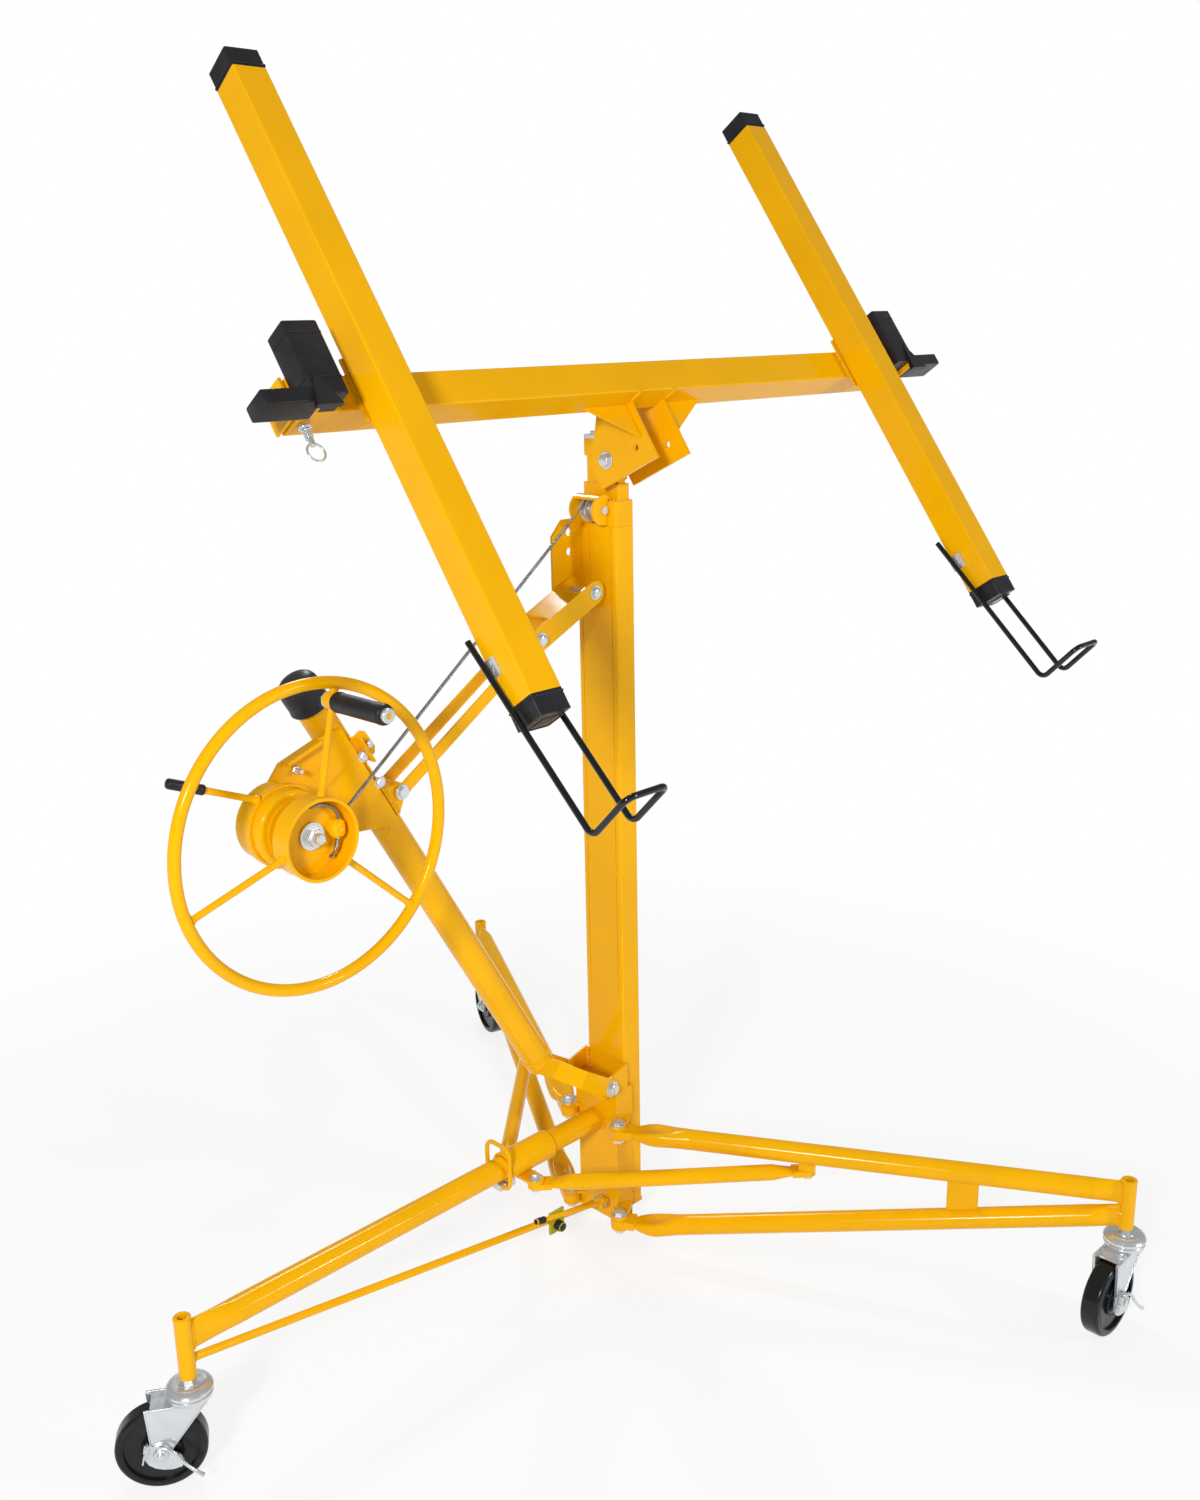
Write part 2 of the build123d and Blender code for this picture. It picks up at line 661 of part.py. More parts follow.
# Sliding collar with two ears for the links
with BuildPart() as collar:
    x0, x1 = collar_x - collar_len / 2, collar_x + collar_len / 2
    outer_d = front_tube_d + 2 * (run_fit + collar_wall)
    bar((x0, 0, leg_z), (x1, 0, leg_z), outer_d)
    with BuildSketch(Plane.XY.offset(link_top + 0.3)):
        with Locations((ear_x, ear_y), (ear_x, -ear_y)):
            Circle(ear_r)
        with Locations((ear_x, 0)):
            Rectangle(2 * ear_r, 2 * ear_y)
        with Locations((ear_x, ear_y), (ear_x, -ear_y)):
            Circle(link_bolt_d / 2, mode=Mode.SUBTRACT)
    extrude(amount=ear_t)
    bar((x0 - 1, 0, leg_z), (x1 + 1, 0, leg_z), front_tube_d + 2 * run_fit, Mode.SUBTRACT)
    collar.part.label = "collar"

# Zinc pieces on the collar: the ear bolts and the clip that carries the lock bail
clip_x = x0 - 10
clip_z = leg_z - outer_d / 2 - 5
with BuildPart() as collar_hardware:
    for side in (-1, 1):
        hex_bolt((ear_x, side * ear_y, link_top + 0.3 + ear_t),
                 (ear_x, side * ear_y, link_top - link_eye_t - 0.3), link_bolt_d)
    block((clip_x - 6, -clip_w / 2, clip_z - 6), (x0 + 16, clip_w / 2, clip_z - 2))
    block((x0 + 4, -clip_w / 2, clip_z - 2), (x0 + 16, clip_w / 2, leg_z - outer_d / 2 + 1))
    block((clip_x - 6, -clip_w / 2, clip_z - 2), (clip_x + 6, clip_w / 2, clip_z + 5))
    bar((clip_x, -clip_w, clip_z), (clip_x, clip_w, clip_z), bail_d + 2 * run_fit, Mode.SUBTRACT)
    collar_hardware.part.label = "collar_hardware"

# Lock bail: a closed loop of wire round the leg, hinged in the clip
with BuildPart() as lock_bail:
    for side in (-1, 1):
        bent_wire(
            [
                (clip_x, 0, clip_z), (clip_x, side * bail_w / 2, clip_z),
                (clip_x, side * bail_w / 2, clip_z + bail_h), (clip_x, 0, clip_z + bail_h),
            ],
            bail_d, bail_w * 0.3,
        )
    lock_bail.part.label = "lock_bail"


def link(side):
    """Link from the collar's ear to the folding leg, flat at both ends."""
    ear = Vector(ear_x, side * ear_y, link_z)
    pivot = leg_plane(side).from_local_coords((link_at, 0, link_z))
    frame = Plane(origin=ear, x_dir=pivot - ear, z_dir=(0, 0, 1))
    length = (pivot - ear).length
    neck = 3.2 * link_eye_r
    with BuildPart(frame) as made:
        for x, way in ((0, 1), (length, -1)):
            with BuildSketch(frame.offset(-link_eye_t / 2)):
                with Locations((x, 0)):
                    Circle(link_eye_r)
                with Locations((x + way * link_eye_r, 0)):
                    Rectangle(2 * link_eye_r, 2 * link_eye_r)
            extrude(amount=link_eye_t)
            flat = Plane(
                origin=frame.from_local_coords((x + way * 2 * link_eye_r, 0, 0)),
                x_dir=frame.y_dir, z_dir=frame.x_dir * way,
            )
            with BuildSketch(flat):
                Ellipse(link_eye_r, link_eye_t / 2)
            with BuildSketch(flat.offset(neck - 2 * link_eye_r + 16)):
                Circle(link_d / 2)
            loft()
        flat_len = neck + 16
        bar(frame.from_local_coords((flat_len, 0, 0)),
            frame.from_local_coords((length - flat_len, 0, 0)), link_d)
        bar(frame.from_local_coords((flat_len, 0, 0)),
            frame.from_local_coords((length - flat_len, 0, 0)), link_d - 2 * leg_wall, Mode.SUBTRACT)
        with Locations((0, 0, 0)):
            Cylinder(link_bolt_d / 2 + run_fit, 2 * link_d, mode=Mode.SUBTRACT)
        # The far bolt ends under the leg's lug, where the linkage is left open
        with BuildSketch(frame.offset(-link_eye_t / 2)):
            with Locations((length, 0)):
                RegularPolygon(0.9 * link_bolt_d, 6)
        extrude(amount=-0.6 * link_bolt_d)
    return made.part


link_right = link(-1)
link_right.label = "link_right"
link_left = link(1)
link_left.label = "link_left"

# Latch at the column's foot: plate with a knob on the rod, and a lever
with BuildPart() as latch_plate:
    latch_y = -rod_d / 2
    latch_z = rod_height(latch_x)
    block((latch_x - latch_w / 2, latch_y - latch_t, latch_z - latch_h / 2),
          (latch_x + latch_w / 2, latch_y, latch_z + latch_h / 2))
    bar((latch_x, latch_y - latch_t + 1, latch_z - 6),
        (latch_x, latch_y - latch_t - knob_len, latch_z - 6), knob_d)
    latch_plate.part.label = "latch_plate"

lever_x = column_x0 - 16
with BuildPart() as latch_lever:
    tip = along((lever_x, lever_z), 180 - lever_rise, lever_len)
    grip = along((lever_x, lever_z), 180 - lever_rise, lever_len - lever_tip_len)
    bar((lever_x, lever_y, lever_z), (tip[0], lever_y, tip[1]), lever_d)
    bar((grip[0], lever_y, grip[1]), (tip[0], lever_y, tip[1]), lever_tip_d)
    bar((lever_x, lever_y - 7, lever_z), (lever_x, lever_y + 7, lever_z), lever_d + 10)
    bar((lever_x, lever_y - 9, lever_z), (lever_x, lever_y + 9, lever_z),
        lever_d + 2 * run_fit - 2, Mode.SUBTRACT)
    latch_lever.part.label = "latch_lever"

# Open trough on the mast that carries the winch arm's pivot
with BuildPart() as arm_bracket:
    half = trough_w / 2
    x0_t = mast_x0 - trough_out
    with BuildSketch(Plane(origin=(0, half, 0), x_dir=(1, 0, 0), z_dir=(0, -1, 0))):
        with BuildLine():
            Polyline(
                (x0_t, trough_low), (mast_x0, trough_low), (mast_x0, trough_high),
                (x0_t, trough_front), close=True,
            )
        make_face()
    extrude(amount=trough_w)
    block((x0_t + trough_t, -half + trough_t, trough_low + trough_t),
          (mast_x0 + 1, half - trough_t, trough_high + 1), mode=Mode.SUBTRACT)
    bar((arm_pivot[0], -half - 1, arm_pivot[1]), (arm_pivot[0], half + 1, arm_pivot[1]),
        hinge_bolt_d, Mode.SUBTRACT)
    arm_bracket.part.label = "arm_bracket"

# Winch arm: round tube, forked foot round the trough, and a lug for the brace
arm_tip = along(arm_foot, arm_angle, arm_len)
brace_foot = along(arm_foot, arm_angle, arm_len - lug_back, -lug_off)
with BuildPart() as winch_arm:
    bar((arm_foot[0], 0, arm_foot[1]), (arm_tip[0], 0, arm_tip[1]), arm_tube_d)
    low_in = along(arm_foot, arm_angle, 30)
    tine_angle = degrees(atan2(arm_pivot[1] - arm_foot[1], arm_pivot[0] - arm_foot[0]))
    reach = hypot(arm_pivot[0] - arm_foot[0], arm_pivot[1] - arm_foot[1])
    tine_way = (cos(radians(tine_angle)), 0, sin(radians(tine_angle)))
    tine_frame = Plane(origin=(arm_foot[0], 0, arm_foot[1]), x_dir=tine_way,
                       z_dir=(-tine_way[2], 0, tine_way[0]))
    for side in (-1, 1):
        near = side * trough_w / 2
        far = side * (trough_w / 2 + tine_t)
        close_in = side * (arm_tube_d / 2 - tine_t)
        with BuildSketch(tine_frame.offset(-tine_w / 2)):
            with BuildLine():
                Polyline(
                    (-14, close_in), (22, close_in), (58, near), (reach + tine_w / 2, near),
                    (reach + tine_w / 2, far), (54, far), (18, close_in + side * tine_t),
                    (-14, close_in + side * tine_t), close=True,
                )
            make_face()
        extrude(amount=tine_w)
    for side in (-1, 1):
        with BuildSketch(Plane(origin=(arm_pivot[0], side * (trough_w / 2 + tine_t + 1), arm_pivot[1]),
                               x_dir=tine_way, z_dir=(0, -side, 0))):
            with Locations((tine_w / 2, 0)):
                Rectangle(tine_w, tine_w + 2)
            Circle(tine_w / 2, mode=Mode.SUBTRACT)
        extrude(amount=tine_t + 2, mode=Mode.SUBTRACT)
    bar((arm_pivot[0], -trough_w, arm_pivot[1]), (arm_pivot[0], trough_w, arm_pivot[1]),
        hinge_bolt_d, Mode.SUBTRACT)
    lug_foot = along(arm_foot, arm_angle, arm_len - lug_back, -arm_tube_d / 2 + 4)
    with BuildSketch(Plane(origin=(0, lug_w / 2, 0), x_dir=(1, 0, 0), z_dir=(0, -1, 0))):
        with Locations(brace_foot):
            Circle(bar_wide / 2 + 3)
        with BuildLine():
            Polyline(
                along(brace_foot, arm_angle, bar_wide / 2 + 3),
                along(lug_foot, arm_angle, bar_wide + 6),
                along(lug_foot, arm_angle, -bar_wide - 6),
                along(brace_foot, arm_angle, -bar_wide / 2 - 3), close=True,
            )
        make_face()
        with Locations(brace_foot):
            Circle(brace_bolt_d / 2, mode=Mode.SUBTRACT)
    extrude(amount=lug_w)
    bar((low_in[0], 0, low_in[1]), (arm_tip[0], 0, arm_tip[1]), arm_tube_d - 2 * arm_tube_wall,
        Mode.SUBTRACT)
    winch_arm.part.label = "winch_arm"

with BuildPart() as arm_cap:
    cap_low = along(arm_foot, arm_angle, arm_len - arm_cap_len * 0.6)
    cap_high = along(arm_foot, arm_angle, arm_len + arm_cap_len * 0.4)
    bar((cap_low[0], 0, cap_low[1]), (cap_high[0], 0, cap_high[1]), arm_cap_d)
    fillet(arm_cap.edges().filter_by(GeomType.CIRCLE).sort_by(Axis.Z)[-1], arm_cap_d * 0.3)
    bar((cap_low[0], 0, cap_low[1]), (arm_tip[0], 0, arm_tip[1]), arm_tube_d, Mode.SUBTRACT)
    arm_cap.part.label = "arm_cap"

# Brace bracket: plate with three holes and a flange on the mast's front
with BuildPart() as brace_bracket:
    x_out = mast_x0 - bracket_out
    with BuildSketch(Plane(origin=(0, bracket_y + bracket_t, 0), x_dir=(1, 0, 0), z_dir=(0, -1, 0))):
        with BuildLine():
            Polyline(
                (mast_x0, bracket_low), (mast_x0, bracket_high), (x_out + 22, bracket_high),
                (x_out, bracket_high - 24), (x_out, bracket_low + 14), (x_out + 8, bracket_low),
                close=True,
            )
        make_face()
        hole_x = brace_top[0]
        with Locations((hole_x, brace_top[1])):
            Circle(brace_bolt_d / 2, mode=Mode.SUBTRACT)
        with Locations((hole_x, brace_top[1] + 58), (hole_x, brace_top[1] + 88)):
            Circle(brace_bolt_d / 2 + 1, mode=Mode.SUBTRACT)
    extrude(amount=bracket_t)
    block((mast_x0 - bracket_t, bracket_y - 16, bracket_low),
          (mast_x0, bracket_y + 1, pulley_z - pulley_flange_r - guard_t - 8))
    brace_bracket.part.label = "brace_bracket"

# Brace: a channel from the bracket to the knee, and two bars down to the arm
knee_angle = degrees(atan2(brace_knee[1] - brace_top[1], brace_knee[0] - brace_top[0]))
upper_len = hypot(brace_knee[0] - brace_top[0], brace_knee[1] - brace_top[1])
with BuildPart() as brace_upper:
    for side in (-1, 1):
        y_out = bracket_y if side > 0 else -bracket_y + brace_t
        with BuildSketch(Plane(origin=(0, y_out, 0), x_dir=(1, 0, 0), z_dir=(0, -1, 0))):
            with Locations(brace_top, brace_knee):
                Circle(brace_wide / 2)
            with BuildLine():
                Polyline(
                    along(brace_top, knee_angle, 0, brace_wide / 2),
                    along(brace_knee, knee_angle, 0, brace_wide / 2),
                    along(brace_knee, knee_angle, 0, -brace_wide / 2),
                    along(brace_top, knee_angle, 0, -brace_wide / 2), close=True,
                )
            make_face()
            with Locations(brace_top, brace_knee):
                Circle(brace_bolt_d / 2, mode=Mode.SUBTRACT)
        extrude(amount=brace_t)
    with BuildSketch(Plane(origin=(0, bracket_y, 0), x_dir=(1, 0, 0), z_dir=(0, -1, 0))):
        with BuildLine():
            Polyline(
                along(brace_top, knee_angle, 30, -brace_wide / 2),
                along(brace_top, knee_angle, upper_len - 30, -brace_wide / 2),
                along(brace_top, knee_angle, upper_len - 30, -brace_wide / 2 + brace_t),
                along(brace_top, knee_angle, 30, -brace_wide / 2 + brace_t), close=True,
            )
        make_face()
    extrude(amount=2 * bracket_y)
    brace_upper.part.label = "brace_upper"

with BuildPart() as brace_bars:
    for y_out in (bracket_y - brace_t, -bracket_y + 2 * brace_t):
        bar_angle = degrees(atan2(brace_foot[1] - brace_knee[1], brace_foot[0] - brace_knee[0]))
        with BuildSketch(Plane(origin=(0, y_out, 0), x_dir=(1, 0, 0), z_dir=(0, -1, 0))):
            with Locations(brace_knee, brace_foot):
                Circle(bar_wide / 2)
            with BuildLine():
                Polyline(
                    along(brace_knee, bar_angle, 0, bar_wide / 2),
                    along(brace_foot, bar_angle, 0, bar_wide / 2),
                    along(brace_foot, bar_angle, 0, -bar_wide / 2),
                    along(brace_knee, bar_angle, 0, -bar_wide / 2), close=True,
                )
            make_face()
            with Locations(brace_knee, brace_foot):
                Circle(brace_bolt_d / 2, mode=Mode.SUBTRACT)
        extrude(amount=brace_t)
    brace_bars.part.label = "brace_bars"

# Top pulley and the guard over it
with BuildPart() as top_pulley:
    with BuildSketch(Plane.XY) as pulley_profile:
        with BuildLine():
            Polyline(
                (0, -guard_w / 2 + cheek_t + free_gap), (pulley_hub_d / 2, -guard_w / 2 + cheek_t + free_gap),
                (pulley_hub_d / 2, -pulley_w / 2), (pulley_flange_r, -pulley_w / 2),
                (pulley_flange_r, -pulley_w / 2 + 2), (pulley_groove_r, -cable_d / 2),
            )
            Line((pulley_groove_r, -cable_d / 2), (pulley_groove_r, cable_d / 2))
            Polyline(
                (pulley_groove_r, cable_d / 2), (pulley_flange_r, pulley_w / 2 - 2),
                (pulley_flange_r, pulley_w / 2), (pulley_hub_d / 2, pulley_w / 2),
                (pulley_hub_d / 2, guard_w / 2 - cheek_t - free_gap),
                (0, guard_w / 2 - cheek_t - free_gap), (0, -guard_w / 2 + cheek_t + free_gap),
            )
        make_face()
    revolve(axis=Axis.Y)
    bar((0, -guard_w, 0), (0, guard_w, 0), pulley_axle_d + 2 * run_fit, Mode.SUBTRACT)
top_pulley_part = Pos(pulley_x, 0, pulley_z) * top_pulley.part
top_pulley_part.label = "top_pulley"

with BuildPart() as pulley_guard:
    guard_r = pulley_flange_r + guard_t + 1
    for side in (-1, 1):
        y_face = guard_w / 2 if side > 0 else -guard_w / 2 + cheek_t
        with BuildSketch(Plane(origin=(0, y_face, 0), x_dir=(1, 0, 0), z_dir=(0, -1, 0))):
            with Locations((pulley_x, pulley_z)):
                Circle(guard_r)
            with Locations((mast_x0 + guard_r, pulley_z)):
                Rectangle(2 * guard_r, 3 * guard_r, mode=Mode.SUBTRACT)
            with BuildLine():
                Polyline(
                    (pulley_x, pulley_z - guard_r), (mast_x0, pulley_z - guard_r),
                    (mast_x0, pulley_z + 10), (pulley_x, pulley_z + 10), close=True,
                )
            make_face()
            with Locations((pulley_x, pulley_z)):
                Circle(pulley_axle_d / 2, mode=Mode.SUBTRACT)
        extrude(amount=cheek_t)
    with BuildSketch(Plane(origin=(0, guard_w / 2, 0), x_dir=(1, 0, 0), z_dir=(0, -1, 0))):
        ends = [along((pulley_x, pulley_z), a, guard_r)
                for a in (guard_from, (guard_from + guard_to) / 2, guard_to)]
        inner = [along((pulley_x, pulley_z), a, guard_r - guard_t)
                 for a in (guard_from, (guard_from + guard_to) / 2, guard_to)]
        with BuildLine():
            ThreePointArc(*ends)
            Line(ends[2], inner[2])
            ThreePointArc(*reversed(inner))
            Line(inner[0], ends[0])
        make_face()
    extrude(amount=guard_w)
    block((mast_x0, -guard_w, pulley_z - 2 * guard_r), (mast_x0 + 4 * guard_r, guard_w, mast_top),
          mode=Mode.SUBTRACT)
    block((middle_x0 - 4, -guard_w, mast_top - 1), (middle_x1, guard_w, mast_top + 4 * guard_r),
          mode=Mode.SUBTRACT)
    pulley_guard.part.label = "pulley_guard"

# Winch plate on the arm, with a folded lip
with BuildPart() as winch_bracket:
    low_seat, high_seat = [along(arm_foot, arm_angle, arm_len - back, -plate_seat_in) for back in plate_seat]
    left_top = (winch_x + plate_lean, winch_z + housing_r + plate_rise)
    left_mid = (winch_x + plate_low_lean, winch_z + housing_r + plate_low_rise)
    left_low = (winch_x - housing_r + plate_inset, winch_z)
    foot_low = (winch_x, winch_z - housing_r + plate_inset)
    with BuildSketch(Plane(origin=(0, winch_plate_y, 0), x_dir=(1, 0, 0), z_dir=(0, -1, 0))):
        with BuildLine():
            Polyline(low_seat, high_seat, left_top, left_mid, left_low, foot_low, close=True)
        make_face()
    extrude(amount=winch_plate)
    lip_angle = degrees(atan2(left_mid[1] - left_top[1], left_mid[0] - left_top[0]))
    with BuildSketch(Plane(origin=(0, winch_plate_y, 0), x_dir=(1, 0, 0), z_dir=(0, -1, 0))):
        with BuildLine():
            Polyline(
                left_top, along(left_top, lip_angle, lip_len),
                along(left_top, lip_angle, lip_len, winch_plate),
                along(left_top, lip_angle, 0, winch_plate), close=True,
            )
        make_face()
    extrude(amount=winch_plate + lip_deep)
    winch_bracket.part.label = "winch_bracket"

# Brake housing with the fixed winch axle
with BuildPart() as brake_housing:
    with BuildSketch(WINCH.offset(-housing_back)):
        Circle(housing_r)
    extrude(amount=housing_deep)
    fillet(brake_housing.edges().group_by(Axis.Y)[0], 6)
    with BuildSketch(WINCH.offset(-housing_front)):
        Circle(winch_axle_d / 2)
    extrude(amount=housing_front - drum_front + 26)
    brake_housing.part.label = "brake_housing"

# Drum with its rear flange and the open cup in front
with BuildPart() as winch_drum:
    with BuildSketch(WINCH.offset(-drum_back)):
        Circle(drum_flange_r)
    extrude(amount=drum_flange_t)
    with BuildSketch(WINCH.offset(-drum_back)):
        Circle(drum_r)
    extrude(amount=drum_back - drum_front)
    with BuildSketch(WINCH.offset(-drum_front)):
        Circle(cup_r)
    extrude(amount=cup_deep)
    fillet(winch_drum.edges().group_by(Axis.Y)[0], 1.5)
    with BuildSketch(WINCH.offset(-drum_front + cup_wall)):
        Circle(cup_r - cup_wall)
    extrude(amount=cup_deep, mode=Mode.SUBTRACT)
    # Clamp for the cable's end on the cup's floor
    with BuildSketch(WINCH.offset(-drum_front + cup_wall - 1)):
        with Locations(along((0, 0), 5, cup_r - 19)):
            RectangleRounded(18, 22, 5)
    extrude(amount=13)
    with BuildSketch(WINCH.offset(-drum_back - 1)):
        Circle(winch_axle_d / 2 + run_fit)
    extrude(amount=drum_back - drum_front + cup_wall + 2, mode=Mode.SUBTRACT)
    winch_drum.part.label = "winch_drum"


def winding_point(turn):
    """Point and direction on the winding, turn counted from the cup towards the housing."""
    first = winding_exit - 2 * pi * winding_turns
    angle = first + 2 * pi * turn
    out = drum_front + cable_d / 2 + 0.4 + winding_pitch * turn
    point = Vector(winch_x + winding_r * cos(angle), out, winch_z + winding_r * sin(angle))
    way = Vector(-winding_r * sin(angle), winding_pitch / (2 * pi), winding_r * cos(angle))
    return point, way.normalized()


# The cable leaves the drum's underside and passes over the pulley
run_x, run_z = pulley_x - winch_x, pulley_z - winch_z
run_angle = atan2(run_z, run_x) + asin((winding_r + pulley_wrap_r) / hypot(run_x, run_z))
winding_exit = run_angle - pi / 2
winding_steps = 4 * winding_turns
with BuildPart() as wound_cable:
    with BuildLine() as winding_path:
        for step in range(winding_steps):
            here, here_way = winding_point(step / 4)
            there, there_way = winding_point((step + 1) / 4)
            biarc(here, here_way, there, there_way)
    first_point, first_way = winding_point(0)
    with BuildSketch(Plane(origin=first_point, z_dir=first_way)):
        Circle(cable_d / 2)
    sweep(path=winding_path.wires()[0])
    wound_cable.part.label = "wound_cable"
samples = [winding_point(k / 36)[0] for k in range(36 * winding_turns + 1)]
least = min(
    (a - b).length for i, a in enumerate(samples) for b in samples[i + 18:]
) - cable_d
print(f"winding: least gap to itself {least:.2f} mm")

# Cable from the drum over the pulley and down inside the mast to the middle tube's foot
exit_point, exit_way = winding_point(winding_turns)
run_way = Vector(cos(run_angle), 0, sin(run_angle))
touch = Vector(pulley_x - pulley_wrap_r * sin(run_angle), 0, pulley_z + pulley_wrap_r * cos(run_angle))
straight = (touch - exit_point).normalized()
clear_run = sqrt((winding_r + cable_d + free_gap) ** 2 - winding_r**2)
with BuildPart() as cable_run:
    with BuildLine() as run_path:
        near_touch = touch - run_way * 60 + Vector(0, -60 * 0.5 * abs(straight.Y), 0)
        run_start = exit_point + (near_touch - exit_point).normalized() * clear_run
        lead = (near_touch - run_start).normalized()
        Line(run_start, near_touch)
        biarc(near_touch, lead, touch, run_way)
        over = (run_angle + pi / 2) / 2
        ThreePointArc(
            touch,
            (pulley_x + pulley_wrap_r * cos(over), 0, pulley_z + pulley_wrap_r * sin(over)),
            (cable_x, 0, pulley_z),
        )
        Line((cable_x, 0, pulley_z), (cable_x, 0, anchor_low + 3))
    with BuildSketch(Plane(origin=run_start, z_dir=lead)):
        Circle(cable_d / 2)
    sweep(path=run_path.wires()[0])
    cable_run.part.label = "cable_run"

# Hand wheel: rim, three spokes, and the bolt that carries the spinner grip
with BuildPart() as wheel_rim:
    with Locations((winch_x, wheel_y, winch_z)):
        Torus(rim_r, rim_d / 2, rotation=(90, 0, 0))
    wheel_rim.part.label = "wheel_rim"

with BuildPart() as wheel_spokes:
    for k in range(3):
        foot = along((winch_x, winch_z), spoke_first + 120 * k, cup_r - 1)
        end = along((winch_x, winch_z), spoke_first + 120 * k, rim_r + rim_d / 6)
        bar((foot[0], wheel_y, foot[1]), (end[0], wheel_y, end[1]), spoke_d)
    spinner = along((winch_x, winch_z), spoke_first, spinner_at)
    bar((spinner[0], wheel_y + 8, spinner[1]), (spinner[0], wheel_y - 8, spinner[1]), 22)
    grip_y = wheel_y - 8 - free_gap
    bar((spinner[0], wheel_y, spinner[1]), (spinner[0], grip_y - grip_len - 5, spinner[1]), grip_bolt_d)
    bar((spinner[0], grip_y - grip_len - free_gap, spinner[1]),
        (spinner[0], grip_y - grip_len - 5, spinner[1]), grip_d * 0.7)
    with BuildSketch(WINCH.offset(-drum_back)):
        Circle(cup_r)
    extrude(amount=drum_back - cup_front + 5, mode=Mode.SUBTRACT)
    add(wheel_rim.part, mode=Mode.SUBTRACT)
    wheel_spokes.part.label = "wheel_spokes"

with BuildPart() as spinner_grip:
    bar((spinner[0], grip_y, spinner[1]), (spinner[0], grip_y - grip_len, spinner[1]), grip_d)
    fillet(spinner_grip.edges(), 3)
    bar((spinner[0], grip_y + 1, spinner[1]), (spinner[0], grip_y - grip_len - 1, spinner[1]),
        grip_bolt_d + 2 * run_fit, Mode.SUBTRACT)
    spinner_grip.part.label = "spinner_grip"

# Brake lever: band round the housing, rod and black grip
band_y = (housing_back + housing_front) / 2 - 4
with BuildPart() as brake_lever:
    with BuildSketch(WINCH.offset(-band_y - band_w / 2)):
        Circle(housing_r + free_gap + band_t)
        Circle(housing_r + free_gap, mode=Mode.SUBTRACT)
    extrude(amount=band_w)
    rod_in = along((winch_x, winch_z), brake_root, housing_r + free_gap + band_t - 0.5)
    rod_out = along(rod_in, brake_angle, brake_len)
    grip_in = along(rod_in, brake_angle, brake_len - brake_grip_len)
    bar((rod_in[0], band_y, rod_in[1]), (rod_out[0], band_y, rod_out[1]), brake_rod_d)
    bar((grip_in[0], band_y, grip_in[1]), (rod_out[0], band_y, rod_out[1]), brake_grip_d)
    brake_lever.part.label = "brake_lever"

# Bolts of the frame, the pulley's axle and the hub nut
with BuildPart() as frame_bolts:
    for side in (-1, 1):
        for z_mid in (leg_z, leg_low_z):
            grip_half = leg_eye_t / 2 + 0.3 + lug_t
            hex_bolt((hinge_x, side * hinge_y, z_mid + grip_half),
                     (hinge_x, side * hinge_y, z_mid - grip_half), hinge_bolt_d)
    pivot_half = trough_w / 2 + tine_t
    hex_bolt((arm_pivot[0], -pivot_half, arm_pivot[1]), (arm_pivot[0], pivot_half, arm_pivot[1]),
             hinge_bolt_d)
    hex_bolt((brace_top[0], -bracket_y, brace_top[1]),
             (brace_top[0], bracket_y + bracket_t, brace_top[1]), brace_bolt_d)
    hex_bolt((brace_knee[0], -bracket_y, brace_knee[1]), (brace_knee[0], bracket_y, brace_knee[1]),
             brace_bolt_d)
    bar_half_y = bracket_y - brace_t
    hex_bolt((brace_foot[0], -bar_half_y, brace_foot[1]), (brace_foot[0], bar_half_y, brace_foot[1]),
             brace_bolt_d)
    hex_bolt((pulley_x, -guard_w / 2, pulley_z), (pulley_x, guard_w / 2, pulley_z), pulley_axle_d)
    bar((lever_x, lever_y - 11, lever_z), (lever_x, lever_y + 11, lever_z), lever_d - 2)
    bar((lever_x, lever_y + 7 + free_gap, lever_z), (lever_x, lever_y + 11, lever_z), lever_d + 8)
    block((lever_x - 5, lever_y + 7 + free_gap, lever_z - 5), (column_x0, lever_y + 15, lever_z + 5))
    with BuildSketch(WINCH.offset(-drum_front + cup_wall + free_gap)):
        Circle(18)
    extrude(amount=3)
    with BuildSketch(WINCH.offset(-drum_front + cup_wall + free_gap + 3)):
        RegularPolygon(winch_axle_d * 0.85, 6)
    extrude(amount=10)
    with BuildSketch(WINCH.offset(-drum_front)):
        Circle(winch_axle_d / 2)
    extrude(amount=cup_wall + 40, mode=Mode.SUBTRACT)
    frame_bolts.part.label = "frame_bolts"

# Crossbar with the seats of the two arms
with BuildPart(CRADLE) as crossbar:
    with Locations((0, bar_up, bar_out)):
        Box(2 * bar_half, bar_sq, bar_sq)
    fillet(crossbar.edges().filter_by(Axis.X), bar_wall)
    for side in (-1, 1):
        with Locations((side * arm_at, bar_up, bar_out + bar_sq / 2 + seat_t / 2)):
            Box(arm_sq + 6, seat_len, seat_t)
    with Locations((0, bar_up, bar_out)):
        Box(2 * bar_half + 2, bar_sq - 2 * bar_wall, bar_sq - 2 * bar_wall, mode=Mode.SUBTRACT)
    pin_at = bar_half - pin_in
    with Locations((-pin_at, bar_up - bar_sq / 2, bar_out), (pin_at, bar_up - bar_sq / 2, bar_out)):
        Cylinder(pin_d / 2 + run_fit, 4 * bar_wall, rotation=(90, 0, 0), mode=Mode.SUBTRACT)
    crossbar.part.label = "crossbar"

